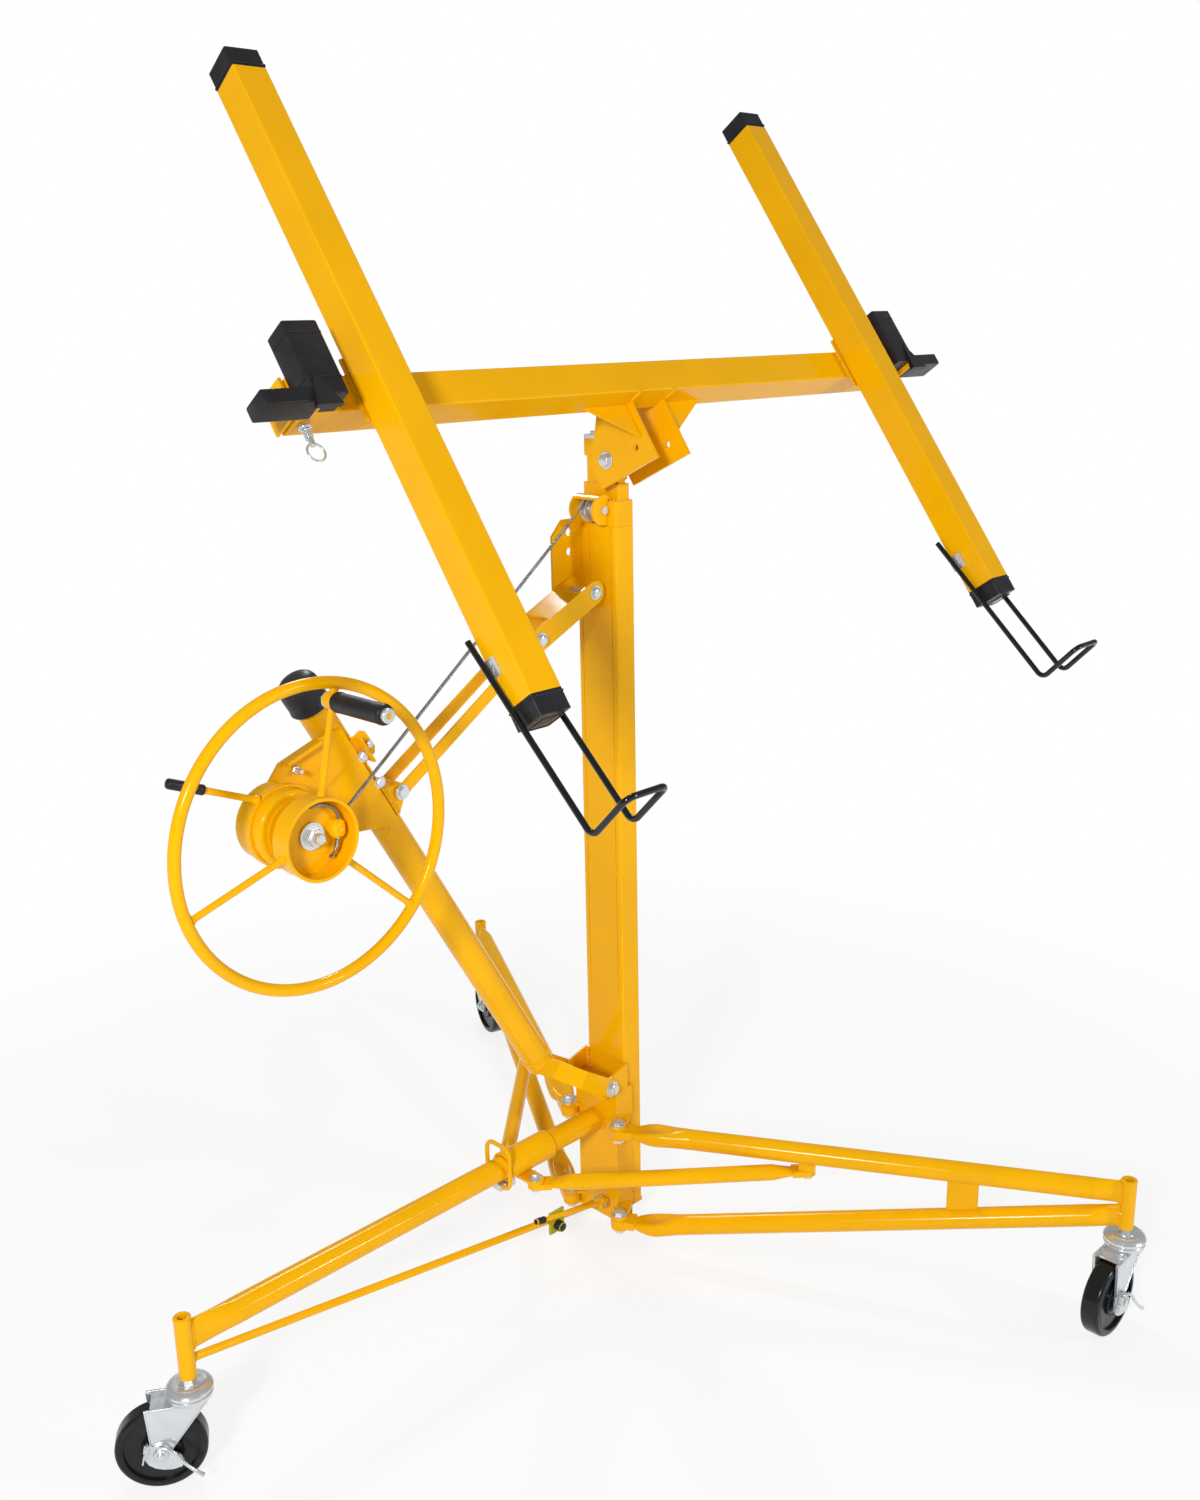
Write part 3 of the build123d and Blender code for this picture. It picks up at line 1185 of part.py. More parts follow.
# Head plates with their gussets, welded under the crossbar
with BuildPart(CRADLE) as head_plates:
    under = bar_up - bar_sq / 2
    behind = bar_out - bar_sq / 2
    for x_low in (head_x0 - head_t, head_x1):
        with BuildSketch(Plane(origin=CRADLE.from_local_coords((x_low, 0, 0)),
                               x_dir=CRADLE.y_dir, z_dir=CRADLE.x_dir)):
            with BuildLine():
                Polyline(
                    (-30, -34), (10, -34), (bar_up + 5, behind - 40), (bar_up + 5, behind),
                    (under, behind), (under, bar_out - 2), (-52, bar_out - 4), close=True,
                )
            make_face()
            Circle(tilt_bolt_d / 2 + run_fit, mode=Mode.SUBTRACT)
            with Locations((-18, 62)):
                Circle(tilt_bolt_d / 2 - 1, mode=Mode.SUBTRACT)
        extrude(amount=head_t)
    for x_plate, side in ((head_x0 - head_t + 1, -1), (head_x1 + head_t - 1, 1)):
        with BuildSketch(Plane(origin=CRADLE.from_local_coords((0, 0, behind + 10)),
                               x_dir=CRADLE.x_dir, z_dir=CRADLE.z_dir)):
            with BuildLine():
                Polyline(
                    (x_plate, under), (x_plate + side * gusset_out, under),
                    (x_plate, under - gusset_down), close=True,
                )
            make_face()
        extrude(amount=gusset_t)
    head_plates.part.label = "head_plates"

# The two long arms, their black end plugs and the clips of the hooks
hook_up = arm_low + hook_pivot_up
hook_out = arm_out - arm_sq / 2 + hook_pivot_in
with BuildPart(CRADLE) as cradle_arms:
    tube_len = arm_high - arm_low - 2 * (plug_len - plug_proud)
    for side in (-1, 1):
        with Locations((side * arm_at, (arm_low + arm_high) / 2, arm_out)):
            Box(arm_sq, tube_len, arm_sq)
    fillet(cradle_arms.edges().filter_by(lambda e: abs(e.length - tube_len) < 0.01), bar_wall)
    for side in (-1, 1):
        with Locations((side * arm_at, (arm_low + arm_high) / 2, arm_out)):
            Box(arm_sq - 2 * bar_wall, tube_len + 2, arm_sq - 2 * bar_wall, mode=Mode.SUBTRACT)
    cradle_arms.part.label = "cradle_arms"

with BuildPart(CRADLE) as arm_caps:
    for side in (-1, 1):
        for end, way in ((arm_low, -1), (arm_high, 1)):
            with Locations((side * arm_at, end + way * (plug_proud - plug_len / 2), arm_out)):
                Box(arm_sq, plug_len, arm_sq)
    fillet(arm_caps.edges().filter_by(lambda e: abs(e.length - plug_len) < 0.01), bar_wall)
    plug_sq = arm_sq - 2 * (bar_wall + run_fit)
    for side in (-1, 1):
        for end, way in ((arm_low, -1), (arm_high, 1)):
            with Locations((side * arm_at, end + way * (plug_proud - plug_len - plug_in / 2), arm_out)):
                Box(plug_sq, plug_in, plug_sq)
    arm_caps.part.label = "arm_caps"

with BuildPart(CRADLE) as hook_clips:
    for side in (-1, 1):
        for face in (-1, 1):
            x_face = side * arm_at + face * arm_sq / 2
            boss = hook_side - hook_d / 2 - arm_sq / 2 - clip_plate - free_gap
            with Locations((x_face + face * clip_plate / 2, hook_up, hook_out + 4)):
                Box(clip_plate, clip_sq, clip_sq)
            with Locations((x_face + face * (clip_plate + boss / 2), hook_up, hook_out)):
                Cylinder(hook_d, boss, rotation=(0, 90, 0))
            with Locations((x_face + face * (clip_plate + boss) / 2, hook_up, hook_out)):
                Cylinder(hook_pin_d / 2 + run_fit, clip_plate + boss, rotation=(0, 90, 0),
                         mode=Mode.SUBTRACT)
    hook_clips.part.label = "hook_clips"


def hook(side):
    """Wire hook: two legs beside the arm, bent out under the panel and joined at the tip."""
    seat_up, seat_out = arm_low - hook_seat_down, arm_out + arm_sq / 2
    leg = Vector(0, seat_up - hook_up, seat_out - hook_out)
    tail = leg.normalized() * -hook_tail
    local = [
        (-hook_side, hook_up + tail.Y, hook_out + tail.Z),
        (-hook_side, seat_up, seat_out),
        (-hook_side, seat_up + hook_prong_up, seat_out + hook_prong),
        (hook_side, seat_up + hook_prong_up, seat_out + hook_prong),
        (hook_side, seat_up, seat_out),
        (hook_side, hook_up - 0.3 * tail.Y, hook_out - 0.3 * tail.Z),
        (hook_side, hook_up + 0.2 * tail.Y, hook_out + 0.2 * tail.Z),
    ]
    place = [CRADLE.from_local_coords((side * arm_at + x, y, z)) for x, y, z in local[:5] + local[6:]]
    with BuildPart() as made:
        bent_wire(place, hook_d, hook_bend)
        for face in (-1, 1):
            inner = CRADLE.from_local_coords(
                (side * arm_at + face * (arm_sq / 2 + free_gap), hook_up, hook_out))
            outer = CRADLE.from_local_coords((side * arm_at + face * hook_side, hook_up, hook_out))
            bar(inner, outer, hook_pin_d)
    return made.part


hook_left = hook(-1)
hook_left.label = "hook_left"
hook_right = hook(1)
hook_right.label = "hook_right"


def outrigger(side):
    """Square slide inside the crossbar's end, with an upright pad and a stub in front of the bar."""
    end = bar_half + slide_out
    front = bar_out + bar_sq / 2 + 2
    pad_low = bar_up - bar_sq / 2
    stub_v = bar_up - stub_drop
    with BuildPart(CRADLE) as made:
        with Locations((side * (end - slide_len / 2), bar_up, bar_out)):
            Box(slide_len, slide_sq, slide_sq)
        with Locations((side * (end - slide_len / 2 - pad_end_t), bar_up, bar_out)):
            Box(slide_len, slide_sq - 2 * bar_wall, slide_sq - 2 * bar_wall, mode=Mode.SUBTRACT)
        with Locations((side * (end + pad_end_t / 2), bar_up, bar_out)):
            Box(pad_end_t, bar_sq, bar_sq)
        stub_top = stub_v + stub_h / 2
        with Locations((side * (end + pad_end_t / 2), (pad_low + stub_top) / 2, front)):
            Box(pad_end_t, stub_top - pad_low, pad_deep)
        pad_tall = pad_up + bar_sq / 2
        with Locations((side * (bar_half - pad_inset), pad_low + pad_tall / 2, front + pad_deep / 2)):
            Box(pad_w, pad_tall, pad_deep)
        stub_from = bar_half - pad_inset + pad_w / 4
        stub_len = end + stub_out - stub_from
        with Locations((side * (stub_from + stub_len / 2), stub_v, front + pad_deep / 2)):
            Box(stub_len, stub_h, pad_deep)
    return made.part


outrigger_left = outrigger(-1)
outrigger_left.label = "outrigger_left"
outrigger_right = outrigger(1)
outrigger_right.label = "outrigger_right"


def lock_pin(side):
    """Ring pin under the crossbar's end, drawn just clear of the slide."""
    tip = bar_up - slide_sq / 2 - free_gap
    seat = bar_up - bar_sq / 2 - free_gap
    with BuildPart(CRADLE) as made:
        with Locations((side * pin_at, (tip + seat - pin_len) / 2, bar_out)):
            Cylinder(pin_d / 2, tip - seat + pin_len, rotation=(90, 0, 0))
        with Locations((side * pin_at, seat - 3, bar_out)):
            Cylinder(pin_d, 6, rotation=(90, 0, 0))
        with Locations((side * pin_at, seat - pin_len - ring_r + 3, bar_out)):
            Torus(ring_r, ring_d / 2)
    return made.part


lock_pin_left = lock_pin(-1)
lock_pin_left.label = "lock_pin_left"
lock_pin_right = lock_pin(1)
lock_pin_right.label = "lock_pin_right"


def caster_fork(frame):
    """Swivel head, stem, fork plates and axle of a caster."""
    drop = caster_height - wheel_d / 2
    crown = drop - wheel_d / 2 - 7  # below the post's foot
    inside = wheel_w / 2 + 2
    with BuildPart(frame) as fork:
        with Locations((0, 0, stem_len / 2 - 1)):
            Cylinder(post_bore / 2 - run_fit, stem_len + 2)
        with BuildSketch(frame.offset(-free_gap)):
            RegularPolygon(post_d / 2 - 1, 6)
        extrude(amount=-8)
        with BuildSketch(frame.offset(-8)):
            Circle(raceway_d / 2 - 6)
        extrude(amount=-5)
        with BuildSketch(frame.offset(-12)):
            Circle(raceway_d / 2)
        extrude(amount=-(crown - 12))
        with BuildSketch(frame.offset(-crown)):
            Rectangle(raceway_d - 14, 2 * (inside + fork_plate), align=(Align.CENTER, Align.CENTER))
            with Locations((caster_trail / 2, 0)):
                Rectangle(caster_trail + 18, 2 * (inside + fork_plate))
        extrude(amount=-fork_plate)
        for side in (-1, 1):
            y_face = side * (inside + fork_plate) if side > 0 else side * inside
            cheek = Plane(
                origin=frame.from_local_coords((0, y_face, 0)),
                x_dir=frame.x_dir, z_dir=frame.y_dir * -1,
            )
            with BuildSketch(cheek):
                with BuildLine():
                    Polyline(
                        (-raceway_d / 2 + 8, -crown - 1), (caster_trail + 17, -crown - 1),
                        (caster_trail + 12, -drop), (caster_trail - 12, -drop), close=True,
                    )
                make_face()
                with Locations((caster_trail, -drop)):
                    Circle(12)
            extrude(amount=fork_plate)
        out_near = inside + fork_plate + free_gap + pedal_plate + free_gap + 4
        bar(frame.from_local_coords((caster_trail, -inside - fork_plate - 5, -drop)),
            frame.from_local_coords((caster_trail, out_near, -drop)), caster_axle_d)
        bar(frame.from_local_coords((caster_trail, -inside - fork_plate - 5, -drop)),
            frame.from_local_coords((caster_trail, -inside - fork_plate + 1, -drop)), caster_axle_d + 7)
        bar(frame.from_local_coords((caster_trail, out_near - 4, -drop)),
            frame.from_local_coords((caster_trail, out_near, -drop)), caster_axle_d + 5)
    return fork.part


def caster_wheel(frame):
    """Solid wheel with a rounded tread and a dished face."""
    drop = caster_height - wheel_d / 2
    hub = Plane(origin=frame.from_local_coords((caster_trail, 0, -drop)),
                x_dir=frame.x_dir, z_dir=frame.y_dir)
    with BuildPart() as wheel:
        with BuildSketch(hub.offset(-wheel_w / 2)):
            Circle(wheel_d / 2)
        extrude(amount=wheel_w)
        fillet(wheel.edges(), 6)
        for level, way in ((wheel_w / 2, -1), (-wheel_w / 2, 1)):
            with BuildSketch(hub.offset(level)):
                Circle(wheel_d / 2 - 12)
                Circle(wheel_d * 0.2, mode=Mode.SUBTRACT)
            extrude(amount=way * 4, mode=Mode.SUBTRACT)
        with BuildSketch(hub.offset(-wheel_w)):
            Circle(caster_axle_d / 2 + run_fit)
        extrude(amount=2 * wheel_w, mode=Mode.SUBTRACT)
    return wheel.part


def caster_brake(frame):
    """Brake pedal on the axle, outside the fork."""
    drop = caster_height - wheel_d / 2
    y_in = wheel_w / 2 + 2 + fork_plate + free_gap
    face = Plane(origin=frame.from_local_coords((caster_trail, y_in, -drop)),
                 x_dir=frame.x_dir * -1, z_dir=frame.y_dir)
    with BuildPart() as pedal:
        with BuildSketch(face):
            Circle(19)
            with BuildLine():
                Polyline((0, -19), (pedal_reach - 6, -24), (pedal_reach, -12), (14, 6), close=True)
            make_face()
            Circle(caster_axle_d / 2 + run_fit, mode=Mode.SUBTRACT)
        extrude(amount=pedal_plate)
        with BuildSketch(face):
            with Locations((pedal_reach - 5, -17)):
                Rectangle(8, 16, rotation=-20)
        extrude(amount=pedal_plate + 15)
    return pedal.part


front_post = Vector(-front_len, 0, 0)
right_post = leg_plane(-1).from_local_coords((leg_len, 0, 0))
left_post = leg_plane(1).from_local_coords((leg_len, 0, 0))
casters = {
    "front": caster_plane(front_post, front_heading),
    "right": caster_plane(right_post, right_heading),
    "left": caster_plane(left_post, left_heading),
}
caster_parts = []
for place, frame in casters.items():
    for kind, make in (("fork", caster_fork), ("wheel", caster_wheel), ("brake", caster_brake)):
        piece = make(frame)
        piece.label = f"caster_{kind}_{place}"
        caster_parts.append(piece)

os.makedirs("parts", exist_ok=True)
pieces = [
    base_column.part, front_leg.part, front_rod.part, latch_plate.part, frame_bolts.part,
    mast_outer.part, outer_guides.part, arm_bracket.part, winch_arm.part, arm_cap.part,
    brace_bracket.part, brace_upper.part, brace_bars.part, pulley_guard.part,
    winch_bracket.part, brake_housing.part, cable_run.part, latch_lever.part,
    mast_middle.part, middle_guides.part, mast_inner.part, inner_guides.part, head_cap.part,
    tilt_bolt.part, top_pulley_part, leg_upper_right, leg_lower_right, leg_upper_left,
    leg_lower_left, collar.part, collar_hardware.part, lock_bail.part, link_right, link_left,
    winch_drum.part, wound_cable.part, wheel_rim.part, wheel_spokes.part,
    spinner_grip.part, brake_lever.part,
    crossbar.part, head_plates.part, cradle_arms.part, arm_caps.part, hook_clips.part,
    hook_left, hook_right, outrigger_left, outrigger_right, lock_pin_left, lock_pin_right,
    *caster_parts,
]

# The frame's origin is the middle of the whole object's footprint on the floor
whole = Compound(pieces).bounding_box()
shift_x = -(whole.min.X + whole.max.X) / 2
shift_y = -(whole.min.Y + whole.max.Y) / 2
shift_z = -whole.min.Z
print(f"frame: mast axis at {shift_x:.3f} {shift_y:.3f}, floor moved {shift_z:.3f} mm")
for piece in pieces:
    moved = Pos(shift_x, shift_y, shift_z) * piece
    moved.label = piece.label
    export_step(moved, f"parts/{piece.label}.step")
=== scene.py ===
# Looks of the panel hoist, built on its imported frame. Lengths in mm are from the mast's axis.
import json
import math
import random
from math import cos, pi, radians, sin

import bmesh
import bpy
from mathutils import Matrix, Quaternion, Vector


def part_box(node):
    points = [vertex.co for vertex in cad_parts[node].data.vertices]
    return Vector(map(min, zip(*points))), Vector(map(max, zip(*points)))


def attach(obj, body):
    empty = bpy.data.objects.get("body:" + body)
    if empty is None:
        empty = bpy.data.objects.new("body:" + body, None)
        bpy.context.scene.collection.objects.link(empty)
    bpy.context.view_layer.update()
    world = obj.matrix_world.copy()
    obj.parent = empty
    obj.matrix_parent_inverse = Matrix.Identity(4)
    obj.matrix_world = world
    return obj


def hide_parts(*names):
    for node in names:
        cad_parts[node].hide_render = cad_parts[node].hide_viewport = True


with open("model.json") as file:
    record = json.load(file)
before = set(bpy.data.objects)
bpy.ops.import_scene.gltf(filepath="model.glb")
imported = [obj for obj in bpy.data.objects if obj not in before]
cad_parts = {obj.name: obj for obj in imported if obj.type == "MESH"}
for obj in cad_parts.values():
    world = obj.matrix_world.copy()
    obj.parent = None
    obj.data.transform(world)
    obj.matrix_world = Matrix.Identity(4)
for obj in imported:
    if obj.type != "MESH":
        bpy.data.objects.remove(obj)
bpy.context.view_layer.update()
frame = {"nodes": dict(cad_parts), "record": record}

scene = bpy.context.scene
NODES = frame["nodes"]
rng = random.Random(7)

# Places shared by the pieces
mast_low, mast_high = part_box("mast_outer")
mast_mid = (mast_low + mast_high) / 2
MM = 0.001
latch_low, latch_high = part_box("latch_plate")
latch_height = (latch_low.z + latch_high.z) / 2 / MM
SIDES = (-1, 1)
PLAY = 0.3  # between faces that turn on each other
SUNK = 0.6  # offset of a bead's middle from the face under it
MAST_FRONT, MAST_BACK = -20.0, 20.0
MAST_HALF = 42.0
LEG_Z, LEG_LOW_Z = 224.0, 50.5
LINK_TOP, LINK_HIGH = LEG_Z - 26.0, 10.0
HINGE = (-54.0, 59.0)
LEG_LEN = 817.0
LEG_FLAT = 62.0  # from the hinge to the end of the flattened part
LEG_R = 17.0
LOW_POST_Z = 185.0
LOW_SLOPE = (LOW_POST_Z - LEG_LOW_Z) / (LEG_LEN - LEG_FLAT)
WEB_AT, WEB_HALF = 568.0, 23.0
LINK_BOLT = 320.0  # from the hinge along the leg
LEG_WAY = (cos(radians(60)), sin(radians(60)))
POST_R = 12.0
FRONT_POST = -841.0
ARM_FOOT = (-173.0, 376.0)
ARM_ANGLE = radians(119.9)
ARM_LEN = 812.0
ARM_R = 23.0
TILT = radians(54.7)
TILT_PLACE = (-38.0, 1338.0)
HEAD_X = 3.5  # middle of the inner tube
HEAD_PLATE = 37.0  # from there to a head plate's outer face
CRADLE_ARM = 505.0
BAR_UP, BAR_OUT, BAR_HALF, BAR_SQ = 67.0, 94.0, 620.0, 50.0
ARM_OUT = BAR_OUT + BAR_SQ / 2 + 4.0 + BAR_SQ / 2
ARM_ENDS = (-406.0, 540.0)
PLUG = 28.0
PIN_IN = 16.0  # ring pins from the crossbar's ends
CASTER_Z, CASTER_TRAIL, WHEEL_R = 163.0, 44.0, 62.5
POST_X = HINGE[0] + LEG_LEN * LEG_WAY[0]
POST_Y = HINGE[1] + LEG_LEN * LEG_WAY[1]
CASTERS = {
    "front": ((FRONT_POST, 0.0), 147.0),
    "right": ((POST_X, -POST_Y), 180.0),
    "left": ((POST_X, POST_Y), 250.0),
}
CABLE_R = 2.5
# Bolt ends: the washer's radius and bore, and the dome as radius and height
BIG_BOLT = (13.4, 9.0, [(9.2, 7.0), (8.0, 8.0), (4.5, 8.6), (0.4, 8.7)])
SMALL_BOLT = (11.4, 7.6, [(7.8, 5.8), (6.6, 6.6), (3.6, 7.1), (0.4, 7.2)])


def at(x, y, z):
    """Point in the row frame from millimetres measured from the mast's axis."""
    return Vector((mast_mid.x + x * MM, mast_mid.y + y * MM, z * MM))


def way(x, y, z):
    return Vector((x, y, z)).normalized()


def on_arm(distance, side=0.0, y=0.0):
    """Point by the winch arm: along it from its foot, beside it in its plane, and across it."""
    c, s = cos(ARM_ANGLE), sin(ARM_ANGLE)
    return at(ARM_FOOT[0] + distance * c - side * s, y, ARM_FOOT[1] + distance * s + side * c)


def on_cradle(u, v, w):
    """Point on the cradle: across, along the arms and out of its face, from the tilt axis."""
    c, s = cos(TILT), sin(TILT)
    return at(u, TILT_PLACE[0] + v * c - w * s, TILT_PLACE[1] + v * s + w * c)


def on_leg(side, along, across, z):
    """Point by a folding leg, side -1 or 1 in Y: along it from its hinge, across it, and height."""
    x = HINGE[0] + along * LEG_WAY[0] - across * LEG_WAY[1]
    y = HINGE[1] + along * LEG_WAY[1] + across * LEG_WAY[0]
    return at(x, side * y, z)


ARM_WAY = way(cos(ARM_ANGLE), 0, sin(ARM_ANGLE))
U_WAY = Vector((1, 0, 0))
V_WAY = way(0, cos(TILT), sin(TILT))
UP = Vector((0, 0, 1))
Y_WAY = Vector((0, 1, 0))
RIGHT_Y = Vector((0, -1, 0))
WINCH_ALONG, WINCH_SIDE = ARM_LEN - 96.2, 145.5
winch_place = on_arm(WINCH_ALONG, WINCH_SIDE)
DRUM_FRONT, CUP_FRONT, WHEEL_Y = -114.4, -144.4, -129.4
CUP_FLOOR = DRUM_FRONT - 4
BAND_Y = -59.5
CUP_R, HOUSING_R, RIM_R, SPOKE_FIRST = 54.0, 52.0, 197.0, 77.0
RIM_TUBE_R, SPINNER_R = 7.4, 174.0
GRIP_LEN = 100.0


def on_winch(angle, radius, y):
    """Point round the winch axle: angle in degrees, radius, and place along Y from the mast."""
    out = Vector((cos(radians(angle)), 0, sin(radians(angle)))) * (radius * MM)
    return winch_place + out + Vector((0, y * MM, 0))


# Materials
class Net:
    """A material with its shader nodes."""

    def __init__(self, name, colour, rough, metal=0.0, specular=0.5):
        self.material = bpy.data.materials.new(name)
        self.material.use_nodes = True
        self.tree = self.material.node_tree
        self.bsdf = self.tree.nodes["Principled BSDF"]
        self.bsdf.inputs["Base Color"].default_value = (*colour, 1)
        self.bsdf.inputs["Roughness"].default_value = rough
        self.bsdf.inputs["Metallic"].default_value = metal
        self.bsdf.inputs["Specular IOR Level"].default_value = specular
        self.coords = self.tree.nodes.new("ShaderNodeTexCoord").outputs["Object"]

    def noise(self, scale, detail=3.0):
        n = self.tree.nodes.new("ShaderNodeTexNoise")
        n.inputs["Scale"].default_value = scale
        n.inputs["Detail"].default_value = detail
        self.tree.links.new(self.coords, n.inputs["Vector"])
        return n.outputs["Fac"]

    def spread(self, factor, low, high, socket):
        """Noise between two values or two colours on a socket of the shader."""
        if isinstance(low, tuple):
            n = self.tree.nodes.new("ShaderNodeValToRGB")
            for stop, place, colour in zip(n.color_ramp.elements, (0.36, 0.64), (low, high)):
                stop.position = place
                stop.color = (*colour, 1)
            self.tree.links.new(factor, n.inputs["Fac"])
            self.tree.links.new(n.outputs["Color"], self.bsdf.inputs[socket])
            return
        n = self.tree.nodes.new("ShaderNodeMapRange")
        n.inputs["From Min"].default_value = 0.3
        n.inputs["From Max"].default_value = 0.7
        n.inputs["To Min"].default_value = low
        n.inputs["To Max"].default_value = high
        self.tree.links.new(factor, n.inputs["Value"])
        self.tree.links.new(n.outputs["Result"], self.bsdf.inputs[socket])

    def bump(self, factor, strength, depth):
        n = self.tree.nodes.new("ShaderNodeBump")
        n.inputs["Strength"].default_value = strength
        n.inputs["Distance"].default_value = depth
        self.tree.links.new(factor, n.inputs["Height"])
        self.tree.links.new(n.outputs["Normal"], self.bsdf.inputs["Normal"])


def shaded(colour, by):
    return tuple(c * by for c in colour)


def paint(name, colour, rough=0.14, specular=0.15):
    """Sprayed paint: slight clouds in the colour, uneven gloss and a fine orange peel."""
    net = Net(name, colour, rough, 0.0, specular)
    net.spread(net.noise(7.0, 4), shaded(colour, 0.93), colour, "Base Color")
    net.spread(net.noise(60.0), rough - 0.04, rough + 0.05, "Roughness")
    net.bump(net.noise(380.0, 2), 0.05, 0.0004)
    return net.material


def metal(name, colour, rough, scale=28.0, shine=1.0):
    """Plated steel: nearly even colour with faint clouds and fine rubbing."""
    net = Net(name, colour, rough, shine)
    net.spread(net.noise(scale, 3), shaded(colour, 0.92), colour, "Base Color")
    net.spread(net.noise(scale * 4), rough - 0.04, rough + 0.06, "Roughness")
    net.bump(net.noise(scale * 22, 2), 0.03, 0.0002)
    return net.material


def plastic(name, colour, rough, grain, strength):
    """Moulded plastic or rubber: dull patches and a fine grain."""
    net = Net(name, colour, rough, 0.0, 0.28)
    net.spread(net.noise(24.0, 4), colour, shaded(colour, 1.6), "Base Color")
    net.spread(net.noise(90.0), rough - 0.06, rough + 0.08, "Roughness")
    net.bump(net.noise(grain, 3), strength, 0.0004)
    return net.material


YELLOW = paint("yellow_paint", (0.93, 0.465, 0.001))
ZINC = metal("zinc", (0.70, 0.73, 0.75), 0.21, 28.0, 0.68)
BLACK = plastic("black_plastic", (0.012, 0.012, 0.014), 0.40, 900.0, 0.20)
TYRE = plastic("wheel_black", (0.007, 0.008, 0.009), 0.22, 500.0, 0.05)
WIRE = paint("black_wire", (0.004, 0.004, 0.005), 0.10, 0.5)
CABLE = metal("steel_cable", (0.33, 0.34, 0.35), 0.34, 300.0)
NYLON = plastic("nylon", (0.60, 0.60, 0.57), 0.5, 700.0, 0.2)
GREEN = paint("latch_green", (0.46, 0.42, 0.006), 0.32)
MATERIALS = {
    "yellow_paint": YELLOW, "zinc": ZINC, "black_plastic": BLACK, "wheel_black": TYRE,
    "black_wire": WIRE, "steel_cable": CABLE, "nylon": NYLON, "latch_green": GREEN,
}
node_slots = {s["node"]: s["material_slot"] for s in frame["record"]["subparts"]}
for node, cad in NODES.items():
    cad.data.materials.clear()
    cad.data.materials.append(MATERIALS[node_slots[node]])


# Mesh building
def frame_ways(axis):
    """Two directions square to an axis and to each other."""
    side = Vector(axis).orthogonal().normalized()
    return side, Vector(axis).normalized().cross(side)


def round_steps(count):
    """Cosine and sine of even steps round a circle."""
    return [(cos(2 * pi * k / count), sin(2 * pi * k / count)) for k in range(count)]


def circle(centre, axis, radius, steps):
    """Points round an axis, with the radius in metres."""
    side, up = frame_ways(axis)
    return [Vector(centre) + (side * c + up * s) * radius for c, s in round_steps(steps)]


def squared(value, power):
    """Cosine or sine pushed outwards by a power under 1, for a rounded square."""
    return math.copysign(abs(value) ** power, value)


